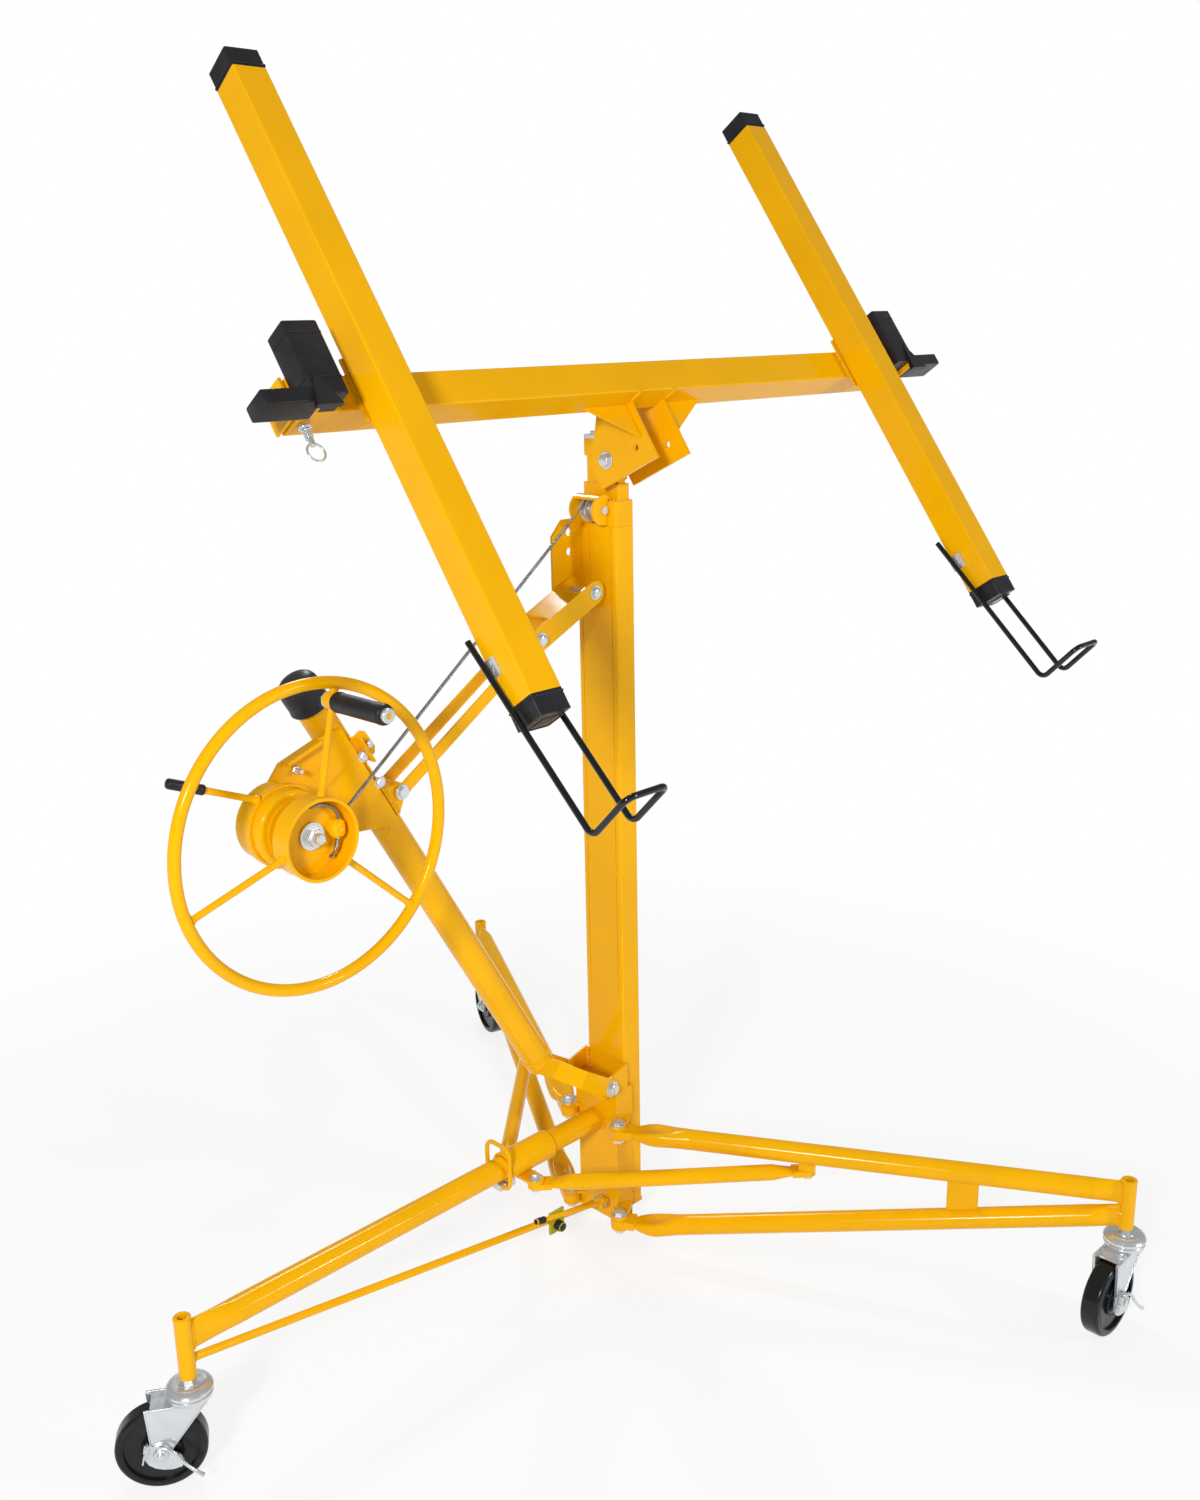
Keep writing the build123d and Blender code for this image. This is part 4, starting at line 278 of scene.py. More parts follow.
class Shape:
    """Gathers faces in the row frame and makes one piece of them. Sizes are millimetres."""

    def __init__(self):
        self.points = []
        self.faces = []

    def loft(self, rings, closed=False):
        """Skin over rings of equal length, with its ends filled unless the rings close on themselves."""
        base, n = len(self.points), len(rings[0])
        self.points += [tuple(p) for ring in rings for p in ring]
        for i in range(len(rings) if closed else len(rings) - 1):
            a, b = base + i * n, base + ((i + 1) % len(rings)) * n
            self.faces += [(a + k, a + (k + 1) % n, b + (k + 1) % n, b + k) for k in range(n)]
        if not closed:
            self.faces.append(tuple(base + k for k in reversed(range(n))))
            self.faces.append(tuple(base + (len(rings) - 1) * n + k for k in range(n)))
        return self

    def tube(self, points, radius, sides=14, closed=False):
        """Round bar along points; radius is one value or one per point."""
        points = [Vector(p) for p in points]
        last = len(points) - 1
        radii = radius if isinstance(radius, list) else [radius] * len(points)
        rings = []
        side = None
        for i, here in enumerate(points):
            before = points[i - 1] if i or closed else here
            after = points[(i + 1) % len(points)] if i < last or closed else here
            heading = (after - before).normalized()
            side = side or heading.orthogonal()
            side = (side - heading * side.dot(heading)).normalized()
            up = heading.cross(side)
            rings.append([here + (side * c + up * s) * (radii[i] * MM) for c, s in round_steps(sides)])
        return self.loft(rings, closed)

    def lathe(self, profile, origin, axis, sides=40, closed=False):
        """Turned form from (radius, height) pairs."""
        axis = Vector(axis).normalized()
        side, up = frame_ways(axis)
        spokes = [side * c + up * s for c, s in round_steps(sides)]
        rings = [[Vector(origin) + axis * (h * MM) + s * (r * MM) for s in spokes] for r, h in profile]
        return self.loft(rings, closed)

    def prism(self, outline, origin, x_way, y_way, depth):
        """Outline in a plane, thickened along the plane's normal."""
        x_way, y_way = Vector(x_way), Vector(y_way)
        z_way = x_way.cross(y_way)
        ends = (0, depth)
        return self.loft([
            [Vector(origin) + (x_way * x + y_way * y + z_way * d) * MM for x, y in outline] for d in ends
        ])

    def box(self, centre, size, x_way=(1, 0, 0), y_way=(0, 1, 0)):
        x, y, z = (s / 2 for s in size)
        z_way = Vector(x_way).cross(Vector(y_way))
        outline = [(-x, -y), (x, -y), (x, y), (-x, y)]
        return self.prism(outline, Vector(centre) - z_way * (z * MM), x_way, y_way, 2 * z)

    def hexagon(self, seat, axis, radius, height):
        """Hex nut or bolt head with a chamfered top."""
        side, up = frame_ways(axis)
        turns = [radians(60 * k + 15) for k in range(6)]
        spokes = [side * cos(t) + up * sin(t) for t in turns]
        rings = []
        for r, h in ((radius, 0.0), (radius, height * 0.78), (radius * 0.84, height)):
            rings.append([Vector(seat) + (Vector(axis) * h + spoke * r) * MM for spoke in spokes])
        return self.loft(rings)

    def washer(self, seat, axis, radius, bore, thick=1.8):
        edge = thick * 0.3
        profile = [(bore, 0), (radius, 0), (radius, thick - edge), (radius - edge, thick), (bore, thick)]
        return self.lathe(profile, seat, axis, 32, closed=True)

    def dome(self, seat, axis, bolt=BIG_BOLT):
        """Washer and domed end of a bolt."""
        radius, bore, profile = bolt
        self.washer(seat, axis, radius, bore)
        return self.lathe(profile, seat, axis, 24)

    def bead(self, points, size, closed=False):
        """Weld bead along points: a small rippled tube, half sunk in the metal."""
        points = [Vector(p) for p in points]
        ends = points[1:] + ([points[0]] if closed else [])
        fine = []
        for a, b in zip(points, ends):
            steps = max(2, int((b - a).length / (size * MM * 0.4)))
            fine += [a.lerp(b, k / steps) for k in range(steps)]
        if not closed:
            fine.append(points[-1])
        radii = [size * (0.5 + 0.12 * sin(2.6 * k) + 0.07 * rng.random()) for k in range(len(fine))]
        return self.tube(fine, radii, 8, closed)

    def piece(self, name, body, material, bevel=0.0, angle=35):
        mesh = bpy.data.meshes.new(name)
        mesh.from_pydata(self.points, [], self.faces)
        form = bmesh.new()
        form.from_mesh(mesh)
        bmesh.ops.recalc_face_normals(form, faces=form.faces)
        form.to_mesh(mesh)
        form.free()
        mesh.shade_smooth()
        mesh.set_sharp_from_angle(angle=radians(angle))
        mesh.materials.append(material)
        made = bpy.data.objects.new(name, mesh)
        scene.collection.objects.link(made)
        if bevel:
            edge = made.modifiers.new("edge", "BEVEL")
            edge.width = bevel * MM
            edge.segments = 2
            edge.limit_method = "ANGLE"
            edge.angle_limit = radians(angle)
            edge.harden_normals = True
        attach(made, body)
        return made


def spline_points(controls, step):
    """Points every step mm along a smooth curve by given points."""
    data = bpy.data.curves.new("route", "CURVE")
    data.dimensions = "3D"
    data.resolution_u = 24
    line = data.splines.new("NURBS")
    line.points.add(len(controls) - 1)
    for point, place in zip(line.points, controls):
        point.co = (*place, 1)
    line.order_u = 3
    line.use_endpoint_u = True
    holder = bpy.data.objects.new("route", data)
    mesh = bpy.data.meshes.new_from_object(holder)
    path = [v.co.copy() for v in mesh.vertices]
    bpy.data.objects.remove(holder)
    bpy.data.meshes.remove(mesh)
    return even_points(path, step)


def even_points(path, step):
    """The same path with its points an even step apart."""
    made = [path[0]]
    left = step * MM
    for a, b in zip(path, path[1:]):
        length = (b - a).length
        gone = 0.0
        while length - gone > left:
            gone += left
            made.append(a.lerp(b, gone / length))
            left = step * MM
        left -= length - gone
    return made + [path[-1]]


def strands(shape, path, lay=26.0, count=6):
    """Wire rope along a path: a core and outer strands that wind round it."""
    core_r, strand_r = CABLE_R * 0.40, CABLE_R * 0.345
    shape.tube(path, core_r, 6)
    side = None
    lines = [[] for _ in range(count)]
    gone = 0.0
    for i, here in enumerate(path):
        before, after = path[max(i - 1, 0)], path[min(i + 1, len(path) - 1)]
        heading = (after - before).normalized()
        side = side or heading.orthogonal()
        side = (side - heading * side.dot(heading)).normalized()
        up = heading.cross(side)
        gone += (here - before).length / MM
        for k, line in enumerate(lines):
            turn = 2 * pi * (gone / lay + k / count)
            line.append(here + (side * cos(turn) + up * sin(turn)) * ((CABLE_R - strand_r) * MM))
    for line in lines:
        shape.tube(line, strand_r, 6)
    return shape


# Mast: a sheet lapped over the tube, slit near its front corners, with weld spots in the slits
def mast_pieces():
    thick, corner = 1.2, 3.5
    low, joined, high = 336.0, 452.0, 1236.0
    slit, gap = MAST_HALF - 9.0, 1.3
    back = MAST_BACK - 4.0

    def corner_sheet(side, to_y):
        """Outline of the sheet from the tube's back round one front corner."""
        outline = []
        for grow, order in ((thick, 1), (0.0, -1)):
            half, front, r = MAST_HALF + grow, MAST_FRONT - grow, corner + grow
            rim = [(back, -half)]
            quarter = [radians(15 * k) for k in range(7)]
            rim += [(front + r - r * sin(a), -half + r - r * cos(a)) for a in quarter]
            rim.append((front, to_y))
            outline += rim[::order]
        return [(x, y * -side) for x, y in outline]

    sheet = Shape()
    for side in SIDES:
        sheet.prism(corner_sheet(side, -slit), at(0, 0, joined), U_WAY, Y_WAY, high - joined)
        sheet.prism(corner_sheet(side, 0.0), at(0, 0, low), U_WAY, Y_WAY, joined - low)
    middle = at(MAST_FRONT - thick / 2, 0, (joined + high) / 2)
    sheet.box(middle, (thick, 2 * (slit - gap), high - joined))
    sheet.piece("mast_channel", "base", YELLOW, 0.25)

    welds = Shape()

    def upright(x, y, z_low, z_high, size):
        welds.bead([at(x, y, z_low), at(x, y, z_high)], size)

    slit_spots, slit_spot_half = (486, 672, 858, 1044, 1216), 5
    foot_spots, foot_spot_half = (70, 150, 262), 9
    foot_x, foot_y = -7.6, MAST_HALF + 2.2
    trough_low, trough_high, trough_y = 291, 332, MAST_HALF + 2.5
    trough_floor, trough_half = 294.5, 38
    bracket_low, bracket_high, bracket_y = 1104, 1243, 33.0
    for side in SIDES:
        for z in slit_spots:
            upright(MAST_FRONT - 0.9, side * (slit - gap / 2), z - slit_spot_half, z + slit_spot_half, 3.4)
        for z in foot_spots:
            upright(foot_x, side * foot_y, z - foot_spot_half, z + foot_spot_half, 4.2)
        upright(MAST_FRONT - SUNK, side * trough_y, trough_low, trough_high, 7.0)
    welds.bead([at(MAST_FRONT - SUNK, side * trough_half, trough_floor) for side in SIDES], 3.8)
    upright(MAST_FRONT - 1.4, bracket_y, bracket_low, bracket_high, 3.2)
    welds.piece("mast_welds", "base", YELLOW)


# Foot of the mast: welds on the hinge lugs, washers and domes of the bolts, and the column's strap
def base_pieces():
    welds = Shape()
    bolts = Shape()
    column_half, column_front, flange_end = 45.5, -44.0, -8.0
    eye_half, lug_t = 7.0, 5.0
    for side in SIDES:
        face = side * column_half
        for z_mid in (LEG_Z, LEG_LOW_Z):
            top = z_mid + eye_half + PLAY + lug_t
            for z in (top, z_mid - eye_half - PLAY - lug_t):
                welds.bead([at(column_front + 4, face, z), at(flange_end - 3, face, z)], 3.2)
            bolts.dome(at(HINGE[0], side * HINGE[1], top), UP)
    web = column_front - 0.4
    seam_half, seam_low, seam_high = 18, 203, 209
    seam = ((-seam_half, seam_high), (0, seam_low), (seam_half, seam_high))
    welds.bead([at(web, *p) for p in seam], 4.0)
    leg_seam_r, rod_seam_r, rod_z = 19.2, 6.3, 58.0
    welds.bead(circle(at(web - 0.8, 0, LEG_Z), U_WAY, leg_seam_r * MM, 40), 4.4, closed=True)
    welds.bead(circle(at(web - SUNK, 0, rod_z), U_WAY, rod_seam_r * MM, 24), 3.0, closed=True)
    welds.piece("column_welds", "base", YELLOW)
    # Bolts as x, z and half length: the arm's foot, the brace's upper end and its middle
    foot_x, foot_z, foot_half = -64, 306, 56
    top_x, top_z, top_halves = -52, 1139, {-1: 28, 1: 32}
    middle_x, middle_z, middle_half = -168, 1084, 28
    lug_back, lug_off, lug_half = 217, -36, 24
    for side in SIDES:
        y_way = Vector((0, side, 0))
        bolts.dome(at(foot_x, side * foot_half, foot_z), y_way)
        bolts.dome(at(top_x, side * top_halves[side], top_z), y_way, SMALL_BOLT)
        bolts.dome(at(middle_x, side * middle_half, middle_z), y_way, SMALL_BOLT)
        bolts.washer(on_arm(ARM_LEN - lug_back, lug_off, side * lug_half), y_way, *SMALL_BOLT[:2])
    bolts.piece("frame_washers", "base", ZINC)
    # Column strap: turned-over edge along its top and bottom
    edge = Shape()
    half, front = column_half + 3.0, column_front - 3.0
    for z in (288.4, 234.6):
        line = [at(flange_end - 1, -half, z), at(front + 4, -half, z), at(front + 1.2, -half + 1.2, z)]
        line += [at(front, -half + 4, z), at(front, half - 4, z), at(front + 1.2, half - 1.2, z)]
        line += [at(front + 4, half, z), at(flange_end - 1, half, z)]
        edge.tube(line, 1.0, 8)
    edge.piece("strap_edges", "base", YELLOW)


# Legs: pressed inner ends, welds at the posts and webs, and lips on the posts
def pressed_ring(side, along, z, half, middle, roll, power):
    """Ring round a pressed tube: half its width, its half height in the middle and the rise of its edges."""
    ring = []
    for c, s in round_steps(36):
        ring.append(on_leg(side, along, half * c, z + squared(s, power) * (middle + roll * c * c)))
    return ring


def post_seam(half_high, steps):
    """Seam of a pressed tube on a round post, as gap to the post's face, place across it, and rise."""
    seam_half = 7.4
    seam = []
    for c, s in round_steps(steps):
        gap = POST_R - math.sqrt(POST_R**2 - (seam_half * c) ** 2)
        seam.append((gap - SUNK, (seam_half + 0.2) * c, half_high * s))
    return seam


def post_lip(name, body, foot, high):
    """Rounded lip on the open top of a caster post, high mm over its foot."""
    bore, edge = POST_R - 4.4, POST_R + 0.3
    profile = [(bore, high - 0.8), (bore + 0.6, high), (edge - 1.7, high), (edge, high - 1.4)]
    profile += [(edge, high - 4.0), (bore, high - 4.0)]
    Shape().lathe(profile, foot, UP, 40, closed=True).piece(name, body, YELLOW, angle=50)


def leg_pieces(side, name):
    body = f"leg_{name}"
    skin = Shape()
    # Place along the leg, half width, half height, rise of the edges, and power of the rounded section
    pressed = (
        (31, 16.0, 7.1, 0.0, 0.6), (40, 18.6, 7.8, 4.0, 0.65), (52, 20.9, 8.5, 9.0, 0.7),
        (66, 21.6, 9.3, 11.0, 0.7), (78, 21.4, 11.0, 9.0, 0.76), (90, 20.6, 13.2, 5.4, 0.84),
        (104, 19.0, 15.7, 1.8, 0.93), (116, 17.6, 17.2, 0.1, 0.99), (124, 17.15, 17.15, 0.0, 1.0),
    )
    for z, slope in ((LEG_Z, 0.0), (LEG_LOW_Z, LOW_SLOPE)):
        rings = []
        for along, *section in pressed:
            rise = slope * max(0.0, along - LEG_FLAT)
            rings.append(pressed_ring(side, along, z + rise, *section))
        skin.loft(rings)
    skin.piece(f"leg_ends_{name}", body, YELLOW, angle=60)
    welds = Shape()
    post_face = LEG_LEN - POST_R
    for z in (LEG_Z, LOW_POST_Z):
        seam = post_seam(19.2, 40)
        welds.bead([on_leg(side, post_face + gap, y, z + rise) for gap, y, rise in seam], 3.4, closed=True)
    for edge in (WEB_AT - WEB_HALF, WEB_AT + WEB_HALF):
        low = LEG_LOW_Z + LOW_SLOPE * (edge - LEG_FLAT) + LEG_R
        welds.bead([on_leg(side, edge, 0, low), on_leg(side, edge, 0, LEG_Z - LEG_R)], 3.0)
    lug_half, lug_side, lug_top = 12, 13, 211
    for across in (-lug_side, lug_side):
        ends = (LINK_BOLT - lug_half, LINK_BOLT + lug_half)
        welds.bead([on_leg(side, along, across, lug_top) for along in ends], 3.4)
    welds.piece(f"leg_welds_{name}", body, YELLOW)
    post_lip(f"post_lip_{name}", body, on_leg(side, LEG_LEN, 0, CASTER_Z), 84.0)


# Front leg: welds at its post, post lip, latch knob
def front_leg_pieces():
    welds = Shape()
    post_face = FRONT_POST + POST_R
    seam = [at(post_face - gap, y, LEG_Z + rise) for gap, y, rise in post_seam(23.2, 44)]
    welds.bead(seam, 3.4, closed=True)
    rod_z, rod_r, rod_way = 187, 6.2, way(0.98, 0, -0.16)
    welds.bead(circle(at(post_face - SUNK, 0, rod_z), rod_way, rod_r * MM, 24), 3.0, closed=True)
    welds.piece("front_welds", "base", YELLOW)
    post_lip("post_lip_front", "base", at(FRONT_POST, 0, CASTER_Z), 95.0)
    knob_x, knob_y, knob_drop = -155, -9.9, 6
    profile = [(4.0, 0.0), (8.6, 0.4), (9.0, 2.0), (8.4, 3.2), (8.9, 6.0), (8.9, 11.0)]
    profile += [(7.0, 14.2), (3.0, 15.4), (0.3, 15.6)]
    knob = Shape().lathe(profile, at(knob_x, knob_y, latch_height - knob_drop), RIGHT_Y, 28)
    knob.piece("latch_knob", "base", BLACK, angle=50)


def latch_pieces():
    """Black sleeve on the latch lever's tip."""
    pivot_x, pivot_y, pivot_z = -60, -24, 74
    reach, rise, sleeve_len = 160, radians(13), 20
    lever = way(-cos(rise), 0, sin(rise))
    tip = at(pivot_x - reach * cos(rise), pivot_y, pivot_z + reach * sin(rise))
    sleeve = [(4.2, 0), (5.8, 0.5), (6.1, 2.0), (5.8, 4), (5.8, 16), (5.3, 19.2), (3.5, 21.0), (0.4, 21.5)]
    made = Shape().lathe(sleeve, tip - lever * (sleeve_len * MM), lever, 28)
    made.piece("latch_tip", "latch", BLACK, angle=50)


def collar_pieces():
    """Rolled ends of the sliding collar, its ear welds and bolts."""
    collar_ends, roll_r = (-261.0, -167.0), 22.2
    bolt_x, bolt_y, ear_half, ear_root = -226, 38, 14, 23
    ear_t = 5
    ear_top = LINK_TOP + PLAY + ear_t
    rings, caps = Shape(), Shape()
    for x in collar_ends:
        rings.tube(circle(at(x, 0, LEG_Z), U_WAY, roll_r * MM, 48), 2.3, 10, closed=True)
    for side in SIDES:
        ends = (bolt_x - ear_half, bolt_x + ear_half)
        rings.bead([at(x, side * ear_root, ear_top) for x in ends], 3.4)
        caps.dome(at(bolt_x, side * bolt_y, ear_top), UP, SMALL_BOLT)
    rings.piece("collar_rolls", "slider", YELLOW, angle=60)
    caps.piece("collar_washers", "slider", ZINC)


def link_pieces():
    """Zinc faces over the bolts at the links' far ends."""
    low = LINK_TOP - LINK_HIGH
    for side, body in ((-1, "link_r"), (1, "link_l")):
        made = Shape()
        made.hexagon(on_leg(side, LINK_BOLT, 0, low - 0.2), -UP, 9.6, 6.6)
        made.washer(on_leg(side, LINK_BOLT, 0, low), -UP, 11.6, 7.0, 1.4)
        made.piece(f"link_bolt_{body[-1]}", body, ZINC, 0.4)


# Casters
def caster_pieces(name):
    (px, py), heading = CASTERS[name]
    ahead = way(cos(radians(heading)), sin(radians(heading)), 0)
    out = UP.cross(ahead)
    foot = at(px, py, CASTER_Z)
    axle = foot + (ahead * CASTER_TRAIL + UP * (WHEEL_R - CASTER_Z)) * MM
    swivel, wheel, pedal = f"swivel_{name}", f"wheel_{name}", f"pedal_{name}"
    cheek_out, lock_out, wheel_half = 20.5, 24.3, 15.0

    def spot(back, up, side):
        """Point by the axle: towards the post, up, and outwards."""
        return axle + (UP * up - ahead * back + out * side) * MM

    head = [
        (12.4, -8.2), (20, -8.4), (26, -9.6), (30, -12.2), (32.4, -15.2), (32.6, -18.2), (30.6, -20.2),
        (30.4, -21.2), (31.8, -22.6), (32.0, -25.2), (30.6, -27.6), (30.2, -30.6), (12.4, -30.6),
    ]
    raceway = Shape().lathe(head, foot, UP, 56, closed=True)
    raceway.washer(foot - UP * (8.4 * MM), UP, 15.5, 7.0, 1.6)
    raceway.piece(f"caster_head_{name}", swivel, ZINC, angle=30)
    nuts = Shape()
    nuts.hexagon(spot(0, 0, -cheek_out - 0.2), -out, 11.0, 6.4)
    nuts.lathe([(6.4, 0.0), (6.4, 8.6), (5.2, 9.8), (0.4, 9.9)], spot(0, 0, -cheek_out), -out, 24)
    nuts.washer(spot(0, 0, -cheek_out), -out, 13.5, 9.0, 1.5)
    nuts.hexagon(spot(0, 0, lock_out), out, 9.6, 4.6)
    nuts.lathe([(5.6, 3.8), (5.6, 6.8), (4.4, 7.8), (0.4, 7.9)], spot(0, 0, lock_out), out, 24)
    nuts.piece(f"caster_nuts_{name}", swivel, ZINC, 0.3)
    # Turned-down rim along the fork's cheeks
    rims = Shape()
    top, top_back, top_front = WHEEL_R + 5.0, CASTER_TRAIL + 20.0, -16.0
    for side in SIDES:
        edge = side * (cheek_out + 0.2)
        rims.tube([spot(top_back, top, edge), spot(18, 8, edge), spot(12.6, 0, edge)], 1.2, 8)
        rims.tube([spot(top_front, top, edge), spot(-13.6, 30, edge), spot(-12.4, 0, edge)], 1.2, 8)
        rims.tube([spot(top_back + 1, top + 1.6, edge), spot(top_front - 0.5, top + 1.6, edge)], 1.8, 8)
    rims.piece(f"fork_rims_{name}", swivel, ZINC, angle=60)
    # Wheel: moulded rings on both faces and a seam round the tread
    rings = Shape()
    for side in SIDES:
        face = spot(0, 0, side * wheel_half)
        for radius, width, rise in ((52.5, 1.5, 0.6), (26.5, 1.3, 0.5)):
            crest = width * 0.4
            profile = [(radius - width, -1.0), (radius - crest, rise), (radius + crest, rise)]
            profile.append((radius + width, -1.0))
            rings.lathe(profile, face, out * side, 64, closed=True)
        hub = [(15.2, 0.0), (15.2, 1.2), (12.4, 1.6), (6.6, 1.6), (6.6, 0.0)]
        rings.lathe(hub, face, out * side, 40, closed=True)
    rings.lathe([(62.0, -1.1), (62.48, -0.4), (62.48, 0.4), (62.0, 1.1)], axle, out, 96, closed=True)
    rings.piece(f"wheel_rings_{name}", wheel, TYRE, angle=30)
    # Brake: half-moon plate, folded ears, clip and thin lever
    plate = [(-21, 17), (-23.5, 6), (-22.5, -5), (-17.5, -15), (-9, -22), (2, -26), (14, -27.5), (26, -25)]
    plate += [(30, -17), (26, -6), (16, 2), (9, 13), (0, 15), (-9, 12), (-13, 16)]
    plate_in, plate_t = 21.0, 2.6
    brake = Shape()
    brake.prism(plate, spot(0, 0, plate_in), -ahead, UP, plate_t)
    lean = (-ahead * 0.25 + UP).normalized()
    for (back, up), size in (((-18, 14), (2.2, 12, 13)), ((-22.6, 1), (2.2, 15, 11))):
        centre = spot(back, up, plate_in + 2.4 + size[2] / 2 - 2)
        brake.box(centre, size, lean.cross(out).normalized(), lean)
    clip = [(10.8, 0), (10.8, 2.4), (9.4, 4.4), (6.6, 5.6), (6.3, 5.6), (6.3, 0)]
    brake.lathe(clip, spot(0, 0, plate_in + 2.2), out, 36, closed=True)
    bends = [(-4, 12, 26), (8, 13, 29), (19, 5, 31), (28, -10, 32)]
    bends += [(38, -22, 33), (50, -33, 34), (54, -36, 34)]
    lever = spline_points([spot(*p) for p in bends], 2.5)
    thin, swell, swell_from = 2.5, 1.1, 0.8
    shares = [k / len(lever) for k in range(len(lever))]
    thick = [thin + swell * max(0.0, (s - swell_from) / (1 - swell_from)) for s in shares]
    brake.tube(lever, thick, 12)
    made = brake.piece(f"caster_lock_{name}", pedal, ZINC, 0.5)
    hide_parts(f"caster_brake_{name}")


# Winch
def winch_pieces():
    plate_y, plate_front = -28.0, -26.5
    hardware = Shape()
    stud_angle, stud_r = 54.0, 73.0
    stud = on_winch(stud_angle, stud_r, plate_y)
    hardware.lathe([(3.4, 0), (3.4, 15), (2.6, 16.2), (0.3, 16.4)], stud, RIGHT_Y, 20)
    hardware.hexagon(stud, RIGHT_Y, 6.4, 4.6)
    bolts_back, bolts_off = (126, 176), -14
    for back in bolts_back:
        spot = on_arm(ARM_LEN - back, bolts_off, plate_front)
        hardware.hexagon(spot, RIGHT_Y, 7.2, 5.2)
        hardware.washer(spot, RIGHT_Y, 9.0, 5.0, 1.4)
    hub_play, hub_washer, hub_nut = 0.4, 3, 10
    hub_y = CUP_FLOOR - hub_play - hub_washer - hub_nut
    axle_end = [(7.25, 0), (7.25, 7.4), (6.4, 9.2), (5.6, 9.6), (5.4, 8.9), (0.3, 8.7)]
    hardware.lathe(axle_end, on_winch(0, 0, hub_y), RIGHT_Y, 36)
    hardware.hexagon(on_winch(0, 0, hub_y + hub_nut), RIGHT_Y, 12.3, 10.4)
    hardware.piece("winch_hardware", "base", ZINC, 0.4)
    welds = Shape()
    seam_off, seam_y = 13.5, -21.5
    for side, span in ((1, (74, 250)), (-1, (90, 240))):
        welds.bead([on_arm(ARM_LEN - back, side * seam_off, seam_y) for back in span], 4.0)
    round_y, round_from, round_to = -27.6, -44, 82
    welds.bead([on_winch(a, HOUSING_R + 0.3, round_y) for a in range(round_from, round_to, 3)], 3.4)
    welds.piece("winch_welds", "base", YELLOW)
    # Folded lug on the arm's right side, with its own bolt
    lug = Shape()
    lug_back, lug_in, lug_y = 118, 2, -24
    corner = on_arm(ARM_LEN - lug_back, -ARM_R + lug_in, lug_y)
    side_way = way(sin(ARM_ANGLE), 0, -cos(ARM_ANGLE))
    ear_t, ear_bolt, fold_deep = 4, 8, 14
    ear = [(-18, -22), (12, -20), (17, -12), (16, 16), (10, 22), (-18, 22)]
    fold = [(-3, -22), (1, -22), (1, 22), (-3, 22)]
    lug.prism(ear, corner, side_way, ARM_WAY, -ear_t)
    lug.prism(fold, corner, side_way, ARM_WAY, fold_deep)
    lug.piece("winch_lug", "base", YELLOW, 1.0)
    bolt = Shape()
    bolt.hexagon(corner + side_way * (ear_bolt * MM) + RIGHT_Y * (ear_t * MM), RIGHT_Y, 5.6, 4.2)
    bolt.piece("winch_lug_bolt", "base", ZINC, 0.3)
    cap = [(23.2, -29.4), (27.9, -29.0), (28.9, -27.2), (28.9, -24.6), (28.1, -23.2), (28.2, -16)]
    cap += [(28.7, -6), (28.6, 2), (27.7, 8), (25.4, 13), (21.0, 17), (14.5, 19.6), (7.0, 20.6), (0.3, 20.9)]
    Shape().lathe(cap, on_arm(ARM_LEN), ARM_WAY, 48).piece("arm_bulb", "base", BLACK, angle=40)
    # Welds of the brace lug near the arm's upper end, and round the fork at its foot
    arm_welds = Shape()
    brace_lug, brace_lug_in, brace_lug_y, fork_end = (241, 193), 5.5, 20, 24
    for y in (-brace_lug_y, brace_lug_y):
        arm_welds.bead([on_arm(ARM_LEN - back, -ARM_R + brace_lug_in, y) for back in brace_lug], 3.8)
    arm_welds.bead(circle(on_arm(fork_end), ARM_WAY, (ARM_R + 0.2) * MM, 48), 3.6, closed=True)
    arm_welds.piece("arm_welds", "base", YELLOW)


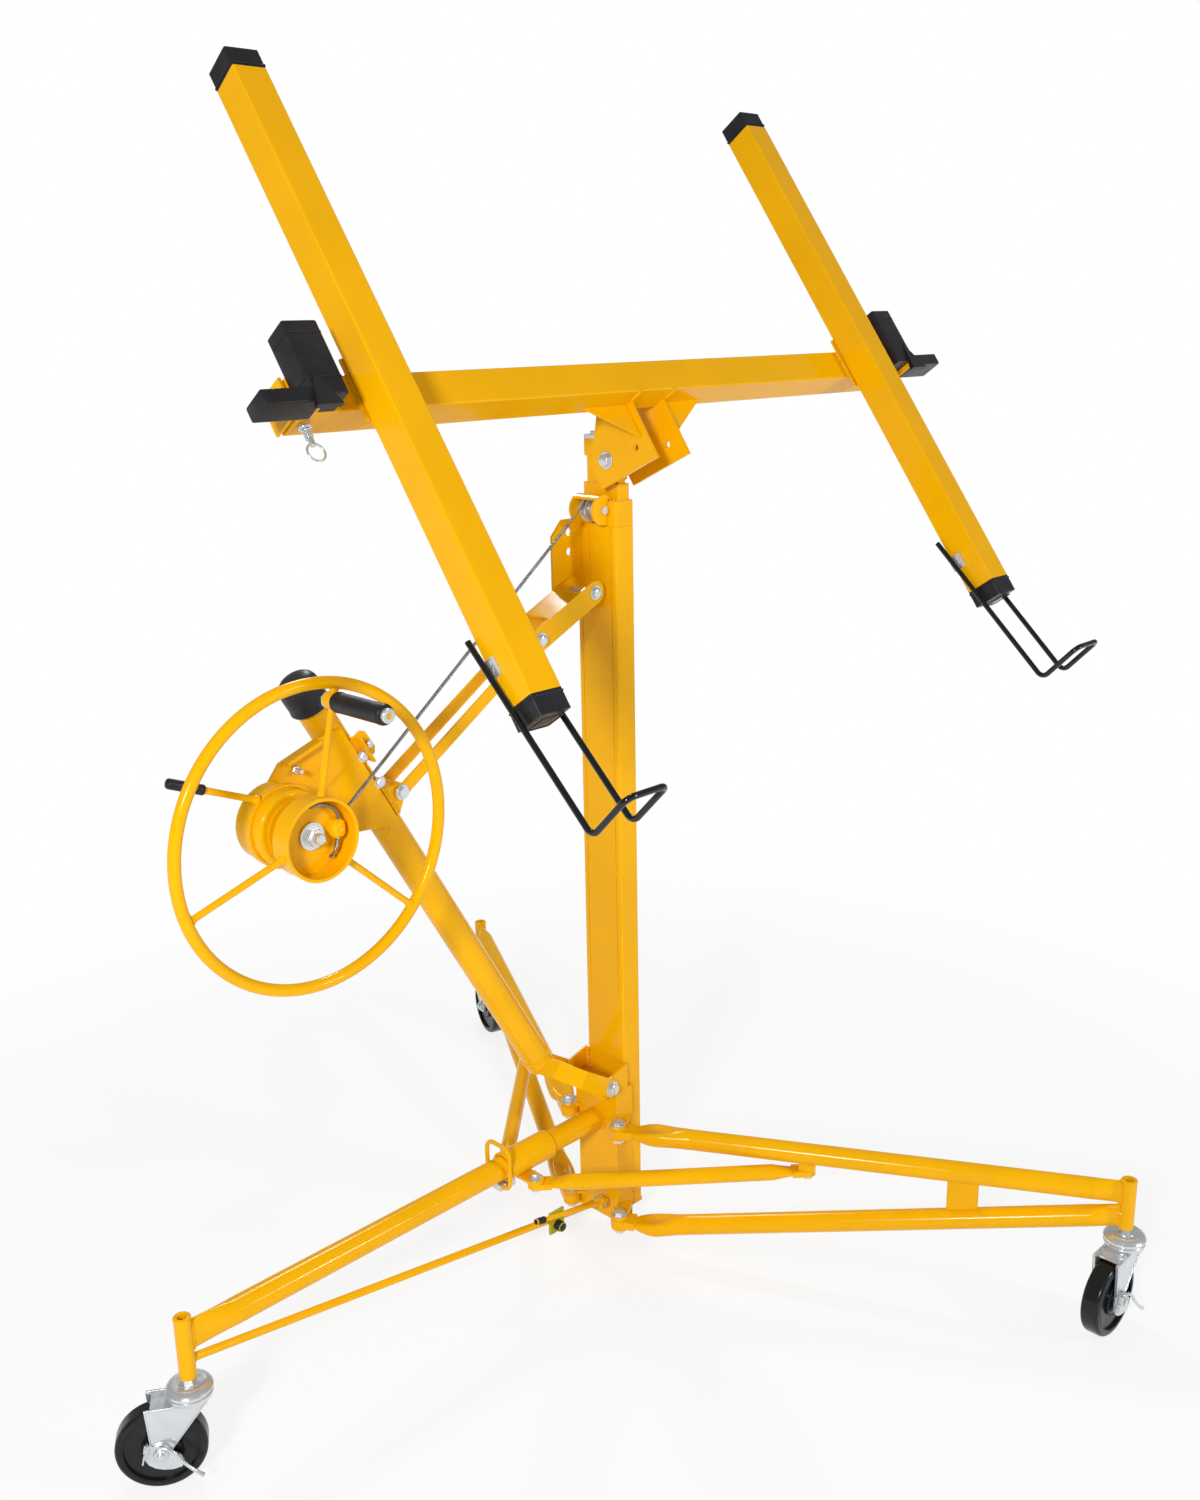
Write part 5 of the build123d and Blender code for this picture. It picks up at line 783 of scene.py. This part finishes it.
def hand_wheel_pieces():
    welds = Shape()
    foot_weld = [(6.6, -0.8), (6.1, 0.8), (5.2, 2.6), (4.55, 5.5), (4.4, 5.5), (4.4, -0.8)]
    rim_weld = [(6.8, -0.4), (6.0, 1.6), (5.0, 3.4), (4.55, 6.0), (4.4, 6.0), (4.4, -0.4)]
    for k in range(3):
        angle = SPOKE_FIRST + 120 * k
        out = (on_winch(angle, 1, 0) - on_winch(angle, 0, 0)).normalized()
        welds.lathe(foot_weld, on_winch(angle, CUP_R, WHEEL_Y), out, 28, closed=True)
        welds.lathe(rim_weld, on_winch(angle, RIM_R - RIM_TUBE_R, WHEEL_Y), -out, 28, closed=True)
    roll = [(53.0, -0.2), (54.5, 0.6), (54.7, 2.0), (54.2, 3.2)]
    roll += [(52.6, 3.4), (50.4, 3.0), (49.9, 1.8), (50.2, 0.2)]
    welds.lathe(roll, on_winch(0, 0, CUP_FRONT + 2.4), RIGHT_Y, 72, closed=True)
    rivet = [(3.4, 0.0), (3.0, 1.0), (1.6, 1.6), (0.3, 1.7)]
    for angle, radius in ((165, 38), (200, 40)):
        welds.lathe(rivet, on_winch(angle, radius, CUP_FLOOR), RIGHT_Y, 20)
    welds.piece("wheel_welds", "winch", YELLOW, angle=50)
    # Nut, washer and capped bolt of the spinner grip
    spinner = on_winch(SPOKE_FIRST, SPINNER_R, WHEEL_Y)
    eye_half, grip_play = 8.0, 0.4
    grip_start = eye_half + grip_play
    bolt = Shape()
    eye_back = spinner + Vector((0, eye_half * MM, 0))
    bolt.hexagon(eye_back, -RIGHT_Y, 9.4, 6.6)
    bolt.washer(eye_back, -RIGHT_Y, 11.2, 5.0, 1.4)
    bolt_cap = [(5.0, 0), (9.4, 0.0), (9.5, 1.0), (9.5, 4.6)]
    bolt_cap += [(8.6, 5.6), (4.0, 5.8), (3.6, 4.4), (0.3, 4.2)]
    bolt.lathe(bolt_cap, spinner + RIGHT_Y * ((grip_start + GRIP_LEN + 0.3) * MM), RIGHT_Y, 32)
    bolt.piece("spinner_bolt", "winch", ZINC, 0.3)
    grip = Shape()
    rib = [(13.0, -2.4), (13.5, -1.6), (13.5, 1.6), (13.0, 2.4), (12.4, 2.4), (12.4, -2.4)]
    for distance in (6, GRIP_LEN - 6):
        grip.lathe(rib, spinner + RIGHT_Y * ((grip_start + distance) * MM), RIGHT_Y, 40, closed=True)
    grip.piece("grip_rings", "grip", BLACK, angle=50)


def cable_end_pieces():
    """Cable's end in the cup: from its hole along the wall to a rounded clamp and a frayed tail."""
    tail = Shape()
    route = [(88, 36, -3), (86, 38, 2), (76, 42, 6), (58, 44, 8), (38, 44, 8.5), (22, 41, 8.5)]
    route += [(8, 36.5, 8), (-8, 35, 8), (-24, 36.5, 8), (-42, 39, 8)]
    path = [on_winch(angle, radius, CUP_FLOOR - high) for angle, radius, high in route]
    strands(tail, spline_points(path, 1.6), 20.0)
    # Loose wires that spread from the cut end
    start = on_winch(-41.5, 39, CUP_FLOOR - 8)
    ahead = (on_winch(-62, 37, CUP_FLOOR - 9) - start) * 0.7
    wires, bow = 7, 0.06
    for k in range(wires):
        bend = 2 * pi * k / wires
        end = start + ahead
        end += Vector((2.6 * cos(bend) * MM, 2.4 * sin(bend) * MM, 2.0 * sin(bend + 1) * MM))
        tail.tube([start, start.lerp(end, 0.5) + (end - start) * bow, end], [0.8, 0.7, 0.5], 6)
    tail.piece("cable_tail", "winch", CABLE, angle=60)
    clamp = Shape()
    clamp_angle, clamp_r = 5, 35
    half_x, half_z, power = 10.6, 12.6, 0.7
    rings = []
    for high, size in ((0, 1.0), (6, 1.02), (11, 0.95), (14, 0.78), (15.6, 0.5), (16.2, 0.15)):
        centre = on_winch(clamp_angle, clamp_r, CUP_FLOOR - high)
        ring = []
        for c, s in round_steps(32):
            x, z = squared(c, power) * half_x * size, squared(s, power) * half_z * size
            ring.append(centre + Vector((x * MM, 0, z * MM)))
        rings.append(ring)
    clamp.loft(rings)
    screw = [(4.2, 0), (4.2, 2.2), (3.4, 2.8), (0.3, 2.9)]
    clamp.lathe(screw, on_winch(clamp_angle, clamp_r, CUP_FLOOR - 15.4), RIGHT_Y, 20)
    clamp.piece("cable_clamp", "winch", YELLOW, angle=50)


def brake_lever_pieces():
    root_angle, band_t, heading = 129.0, 2.9, radians(157.3)
    root = on_winch(root_angle, HOUSING_R + band_t, BAND_Y)
    out = way(cos(heading), 0, sin(heading))
    rod_len, grip_len = 130.0, 48.0
    sleeve = [(4.7, 0), (6.6, 0.5), (7.0, 2.5), (6.8, 5), (6.8, 48.4), (6.2, 50.4), (4.0, 51.6), (0.3, 52.0)]
    grip = Shape().lathe(sleeve, root + out * ((rod_len - grip_len) * MM), out, 32)
    grip.piece("brake_grip", "brake", BLACK, angle=50)
    collar = [(6.9, -1.0), (6.5, 1.5), (5.2, 4.0), (4.6, 7.0), (4.4, 7.0), (4.4, -1.0)]
    boss = Shape().lathe(collar, root + out * (3.5 * MM), out, 28, closed=True)
    boss.piece("brake_rod_weld", "brake", YELLOW, angle=50)


# Cable on the drum and from it over the pulley
WINDING_R, WINDING_PITCH, WINDING_TURNS = 34.6, 5.7, 3
PULLEY_WRAP, CABLE_X = 16.5, -13.25
PULLEY = (CABLE_X - PULLEY_WRAP, 1262.0)
CABLE_FOOT_Z = 105.0
winch_from_mast = ((winch_place.x - mast_mid.x) / MM, winch_place.z / MM)
run_x, run_z = PULLEY[0] - winch_from_mast[0], PULLEY[1] - winch_from_mast[1]
RUN_ANGLE = math.atan2(run_z, run_x) + math.asin((WINDING_R + PULLEY_WRAP) / math.hypot(run_x, run_z))


def winding_point(turn):
    """Point on the winding, turn counted from the cup towards the housing."""
    angle = math.degrees(RUN_ANGLE - pi / 2) + 360 * (turn - WINDING_TURNS)
    return on_winch(angle, WINDING_R, DRUM_FRONT + CABLE_R + 0.4 + WINDING_PITCH * turn)


def pulley_point(turn):
    """Point of the cable on the pulley."""
    return at(PULLEY[0] + PULLEY_WRAP * cos(turn), 0, PULLEY[1] + PULLEY_WRAP * sin(turn))


def cable_pieces():
    steps = 100
    path = [winding_point(k / steps) for k in range(steps * WINDING_TURNS + 1)]
    wound = strands(Shape(), path).piece("cable_winding", "winch", CABLE, angle=60)
    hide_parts("wound_cable")
    leave = winding_point(WINDING_TURNS)
    touch_turn = RUN_ANGLE + pi / 2
    near = pulley_point(touch_turn).lerp(leave, 0.09)
    lead_in = 23  # the run starts clear of the turning winding
    start = leave + (near - leave).normalized() * (lead_in * MM)
    route = even_points([start, near], 2.2)
    route += [pulley_point(touch_turn * (1 - k / 12)) for k in range(13)]
    route += even_points([at(CABLE_X, 0, PULLEY[1] - 4), at(CABLE_X, 0, CABLE_FOOT_Z)], 4.5)
    run = strands(Shape(), route).piece("cable_line", "base", CABLE, angle=60)
    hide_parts("cable_run")


# Cradle
SQUARE = ((1, 1), (-1, 1), (-1, -1), (1, -1))


def cradle_pieces():
    welds = Shape()
    seat_w = BAR_OUT + BAR_SQ / 2 + 2
    seat_half, seat_reach, seat_end, seat_end_half = 28, 24, 45, 23
    plate_low, plate_ends, gusset_w, gusset_len = BAR_UP - 25.4, (-18, 14.4), BAR_OUT - 14, 86
    for side in SIDES:
        middle = side * CRADLE_ARM
        for u in (middle - seat_half, middle + seat_half):
            welds.bead([on_cradle(u, BAR_UP + v, seat_w - 1.8) for v in (-seat_reach, seat_reach)], 3.6)
        for v in (BAR_UP - seat_end, BAR_UP + seat_end):
            ends = (middle - seat_end_half, middle + seat_end_half)
            welds.bead([on_cradle(u, v, seat_w + 1.6) for u in ends], 3.4)
        plate = HEAD_X + side * HEAD_PLATE
        for end in plate_ends:
            welds.bead([on_cradle(plate, plate_low, BAR_OUT + end + w) for w in (-12, 12)], 3.8)
        start = on_cradle(plate, BAR_UP - 26, gusset_w)
        welds.bead([start, on_cradle(plate + side * gusset_len, BAR_UP - 25.6, gusset_w)], 3.4)
    welds.piece("cradle_welds", "cradle", YELLOW)
    hardware = Shape()
    clip_half, clip_v, clip_w = 28.0, -318.0, 134.0
    for side in SIDES:
        spot = on_cradle(side * (BAR_HALF - PIN_IN), BAR_UP + BAR_SQ / 2, BAR_OUT)
        hardware.washer(spot, V_WAY, 12.0, 6.0)
        hardware.hexagon(spot, V_WAY, 9.6, 7.4)
        for face in SIDES:
            clip = on_cradle(side * CRADLE_ARM + face * clip_half, clip_v, clip_w)
            hardware.hexagon(clip, U_WAY * face, 4.6, 0.8)
    hardware.piece("cradle_hardware", "cradle", ZINC, 0.4)
    plugs = Shape()

    def ridge(middle, v, half, radius, thick):
        """Raised line round an arm's end plug."""
        corners = [on_cradle(middle + cu * half, v, ARM_OUT + cw * half) for cu, cw in SQUARE]
        plugs.tube(rounded(corners, radius), thick, 8, closed=True)

    plug_face = 3.0
    for side in SIDES:
        for end, sense in zip(ARM_ENDS, SIDES):
            collar = end - sense * (PLUG - plug_face - 1.5)
            ridge(side * CRADLE_ARM, collar, BAR_SQ / 2 + 0.25, 2.5, 1.1)
            ridge(side * CRADLE_ARM, end + sense * plug_face, 17, 4.0, 0.9)
    plugs.piece("plug_ridges", "cradle", BLACK, angle=60)


def rounded(corners, radius):
    """Closed loop through corners, in the row frame, with each corner cut to an arc."""
    made = []
    count = len(corners)
    for i, corner in enumerate(corners):
        back = (corners[i - 1] - corner).normalized()
        on = (corners[(i + 1) % count] - corner).normalized()
        start, end = corner + back * (radius * MM), corner + on * (radius * MM)
        for k in range(5):
            t = k / 4
            made.append(start * (1 - t) ** 2 + corner * (2 * t * (1 - t)) + end * t**2)
    return made


def soft_box(shape, stations, low, high, place, radius):
    """Box with rounded long edges: rings at stations along it, each with how far its sides draw in."""
    rings = []
    for along, shrink in stations:
        (a, c), (b, d) = [x + shrink for x in low], [x - shrink for x in high]
        corners = [place(along, across, w) for across, w in ((a, c), (b, c), (b, d), (a, d))]
        rings.append(rounded(corners, radius))
    shape.loft(rings)


def outrigger_pieces(side, body):
    """Black sleeves over the upright pad and the stub, ribs, and the wedge between them."""
    grow, round_r = 1.3, 3.0
    pad_u, pad_half, pad_deep, pad_up = BAR_HALF - 22.5, 23.5, 38.0, 75.0
    stub_v, stub_half = BAR_UP - 25.0, 9.0
    stub_end = BAR_HALF + 6 + 65
    front = BAR_OUT + BAR_SQ / 2 + 2
    back, face = front - grow, front + pad_deep + grow
    pads = Shape()
    low, high = sorted((side * (pad_u - pad_half - grow), side * (pad_u + pad_half + grow)))
    foot, top = BAR_UP - BAR_SQ / 2 - grow, BAR_UP + pad_up + grow
    stations = ((foot, 1.2), (foot + 1.2, 0.0), (top - 2.0, 0.0), (top - 0.5, 0.7), (top, 2.0))
    soft_box(pads, stations, (low, back), (high, face), lambda v, u, w: on_cradle(u, v, w), round_r)
    root, tip = side * (pad_u + pad_half - 6), side * (stub_end + grow)
    stations = ((root, 0.0), (tip - side * 2.0, 0.0), (tip - side * 0.5, 0.7), (tip, 2.0))
    stub_low, stub_high = stub_v - stub_half - grow, stub_v + stub_half + grow
    soft_box(pads, stations, (stub_low, back), (stub_high, face), on_cradle, round_r)
    wedge, wedge_u = [(2, 34), (-16, -20), (22, -20)], pad_u + pad_half - 12
    foot_rise, tip_rise = 9, 1
    rings = []
    for share in (0.0, 1.0):
        lifts = [face - 1 + share * (foot_rise if v < 0 else tip_rise) for _, v in wedge]
        spots = [(wedge_u + u, stub_v + v, w) for (u, v), w in zip(wedge, lifts)]
        rings.append([on_cradle(side * u, v, w) for u, v, w in spots])
    pads.loft(rings)
    pads.piece(f"outrigger_sleeve_{body[-1]}", body, BLACK, 0.4)
    ridge = Shape()
    rib_back = front + 1.6
    for v in (BAR_UP - 2, BAR_UP + 60):
        outline = ((low, rib_back), (high, rib_back), (high, face), (low, face))
        corners = [on_cradle(u, v, w) for u, w in outline]
        ridge.tube(rounded(corners, round_r), 0.8, 8, closed=True)
    ridge.piece(f"outrigger_ribs_{body[-1]}", body, BLACK, angle=60)


def lock_pin_pieces(side, body):
    """Collar and spring of a ring lock pin."""
    seat = BAR_UP - BAR_SQ / 2 - 0.4
    pin_u = side * (BAR_HALF - PIN_IN)
    made = Shape()
    collar = [(8.2, 0.2), (8.6, -1.0), (8.6, -5.0), (7.6, -6.4), (4.2, -7.0), (4.2, 0.2)]
    made.lathe(collar, on_cradle(pin_u, seat, BAR_OUT), V_WAY, 32, closed=True)
    coil_r, coil_top, coil_step, coil_drop, coil_points = 5.2, seat - 8, 20, 0.17, 73
    coil = []
    for k in range(coil_points):
        turn = radians(coil_step * k)
        v = coil_top - k * coil_drop
        coil.append(on_cradle(pin_u + coil_r * cos(turn), v, BAR_OUT + coil_r * sin(turn)))
    made.tube(coil, 0.7, 8)
    made.piece(f"pin_spring_{body[-1]}", body, ZINC, angle=50)


def mast_head_pieces():
    """Washers on the tilt bolt, and bolts and welds on the inner tube's head."""
    radius, bore, profile = BIG_BOLT
    made = Shape()
    for sense in SIDES:
        seat = at(HEAD_X + sense * (HEAD_PLATE + 0.4), TILT_PLACE[0], TILT_PLACE[1])
        made.lathe(profile, seat, U_WAY * sense, 24)
        made.washer(seat, U_WAY * sense, radius, bore, 1.6)
    cap_top, cap_bolt_y = 1372, 24
    for sense in SIDES:
        made.hexagon(at(HEAD_X, sense * cap_bolt_y, cap_top), UP, 6.8, 5.0)
    made.piece("head_hardware", "mast_in", ZINC, 0.3)
    welds = Shape()
    ear_half, ear_y, ear_low, ear_high = 8.7, -34.4, 1306, 1362
    for x in (HEAD_X - ear_half, HEAD_X + ear_half):
        welds.bead([at(x, ear_y, z) for z in (ear_low, ear_high)], 3.2)
    welds.piece("head_welds", "mast_in", YELLOW)


mast_pieces()
base_pieces()
leg_pieces(-1, "right")
leg_pieces(1, "left")
front_leg_pieces()
latch_pieces()
collar_pieces()
link_pieces()
for caster in CASTERS:
    caster_pieces(caster)
winch_pieces()
hand_wheel_pieces()
cable_end_pieces()
brake_lever_pieces()
cable_pieces()
cradle_pieces()
for sense, letter in ((-1, "l"), (1, "r")):
    outrigger_pieces(sense, f"out_{letter}")
    lock_pin_pieces(sense, f"pin_{letter}")
mast_head_pieces()


# Floor: pale near the object, with its shadow, and white further out
FLOOR_HALF = 30.0
FLOOR_GREY = (0.93, 0.93, 0.93)
FADE_FROM, FADE_TO = 0.9, 2.2  # metres from the object
FLOOR_WHITE = 0.80  # share of plain white near the object, so that its shadow stays faint
floor_mesh = bpy.data.meshes.new("floor")
floor_mesh.from_pydata(
    [(x * FLOOR_HALF, y * FLOOR_HALF, 0) for x, y in ((-1, -1), (1, -1), (1, 1), (-1, 1))],
    [], [(0, 1, 2, 3)],
)
floor = bpy.data.objects.new("floor", floor_mesh)
scene.collection.objects.link(floor)
floor_look = Net("floor", FLOOR_GREY, 0.8, 0.0, 0.0)
tree = floor_look.tree
reach = tree.nodes.new("ShaderNodeVectorMath")
reach.operation = "LENGTH"
tree.links.new(floor_look.coords, reach.inputs[0])
fade = tree.nodes.new("ShaderNodeMapRange")
fade.interpolation_type = "SMOOTHSTEP"
fade.inputs["From Min"].default_value = FADE_FROM
fade.inputs["From Max"].default_value = FADE_TO
fade.inputs["To Min"].default_value = FLOOR_WHITE
tree.links.new(reach.outputs["Value"], fade.inputs["Value"])
rays = tree.nodes.new("ShaderNodeLightPath")
seen = tree.nodes.new("ShaderNodeMath")
seen.operation = "MAXIMUM"
tree.links.new(rays.outputs["Is Camera Ray"], seen.inputs[0])
tree.links.new(rays.outputs["Is Glossy Ray"], seen.inputs[1])
both = tree.nodes.new("ShaderNodeMath")
both.operation = "MULTIPLY"
tree.links.new(fade.outputs["Result"], both.inputs[0])
tree.links.new(seen.outputs["Value"], both.inputs[1])
glow = tree.nodes.new("ShaderNodeEmission")
blend = tree.nodes.new("ShaderNodeMixShader")
tree.links.new(both.outputs["Value"], blend.inputs["Fac"])
tree.links.new(floor_look.bsdf.outputs["BSDF"], blend.inputs[1])
tree.links.new(glow.outputs["Emission"], blend.inputs[2])
tree.links.new(blend.outputs["Shader"], tree.nodes["Material Output"].inputs["Surface"])
floor_mesh.materials.append(floor_look.material)

# World: white to the camera, softer as light
WORLD_LIGHT = 0.32
world = bpy.data.worlds.new("studio")
scene.world = world
world.use_nodes = True
sky = world.node_tree
sky.nodes["Background"].inputs["Color"].default_value = (1, 1, 1, 1)
sky.nodes["Background"].inputs["Strength"].default_value = WORLD_LIGHT
backdrop = sky.nodes.new("ShaderNodeBackground")
backdrop.inputs["Color"].default_value = (1, 1, 1, 1)
backdrop.inputs["Strength"].default_value = 1.0
rays = sky.nodes.new("ShaderNodeLightPath")
choose = sky.nodes.new("ShaderNodeMixShader")
sky.links.new(rays.outputs["Is Camera Ray"], choose.inputs["Fac"])
sky.links.new(sky.nodes["Background"].outputs["Background"], choose.inputs[1])
sky.links.new(backdrop.outputs["Background"], choose.inputs[2])
sky.links.new(choose.outputs["Shader"], sky.nodes["World Output"].inputs["Surface"])


LAMP_AIM = Vector((0, 0, 0.8))


def area_light(name, place, size, power):
    """Round lamp at a place in metres, turned to the object's middle; power in watts."""
    data = bpy.data.lights.new(name, "AREA")
    data.shape = "DISK"
    data.size = size
    data.energy = power
    lamp = bpy.data.objects.new(name, data)
    lamp.location = place
    lamp.rotation_mode = "QUATERNION"
    lamp.rotation_quaternion = (LAMP_AIM - Vector(place)).to_track_quat("-Z", "Y")
    scene.collection.objects.link(lamp)


area_light("key", (-3.2, -1.9, 2.3), 0.6, 94)
area_light("side", (1.5, -3.6, 1.8), 0.5, 42)
area_light("back", (1.3, 2.2, 3.4), 0.8, 44)

# Camera
camera_data = bpy.data.cameras.new("camera")
camera = bpy.data.objects.new("camera", camera_data)
scene.collection.objects.link(camera)
scene.camera = camera
camera_data.sensor_width = 36.0
camera_data.lens = 35.71
heading, pitch, roll = radians(45.0), radians(16.1), radians(-1.1)
look = Vector((sin(heading) * cos(pitch), cos(heading) * cos(pitch), -sin(pitch)))
camera.location = at(-1648.6, -1627.6, 1539.8)
camera.rotation_mode = "QUATERNION"
camera.rotation_quaternion = look.to_track_quat("-Z", "Y") @ Quaternion((0, 0, 1), roll)
scene.view_settings.view_transform = "Standard"
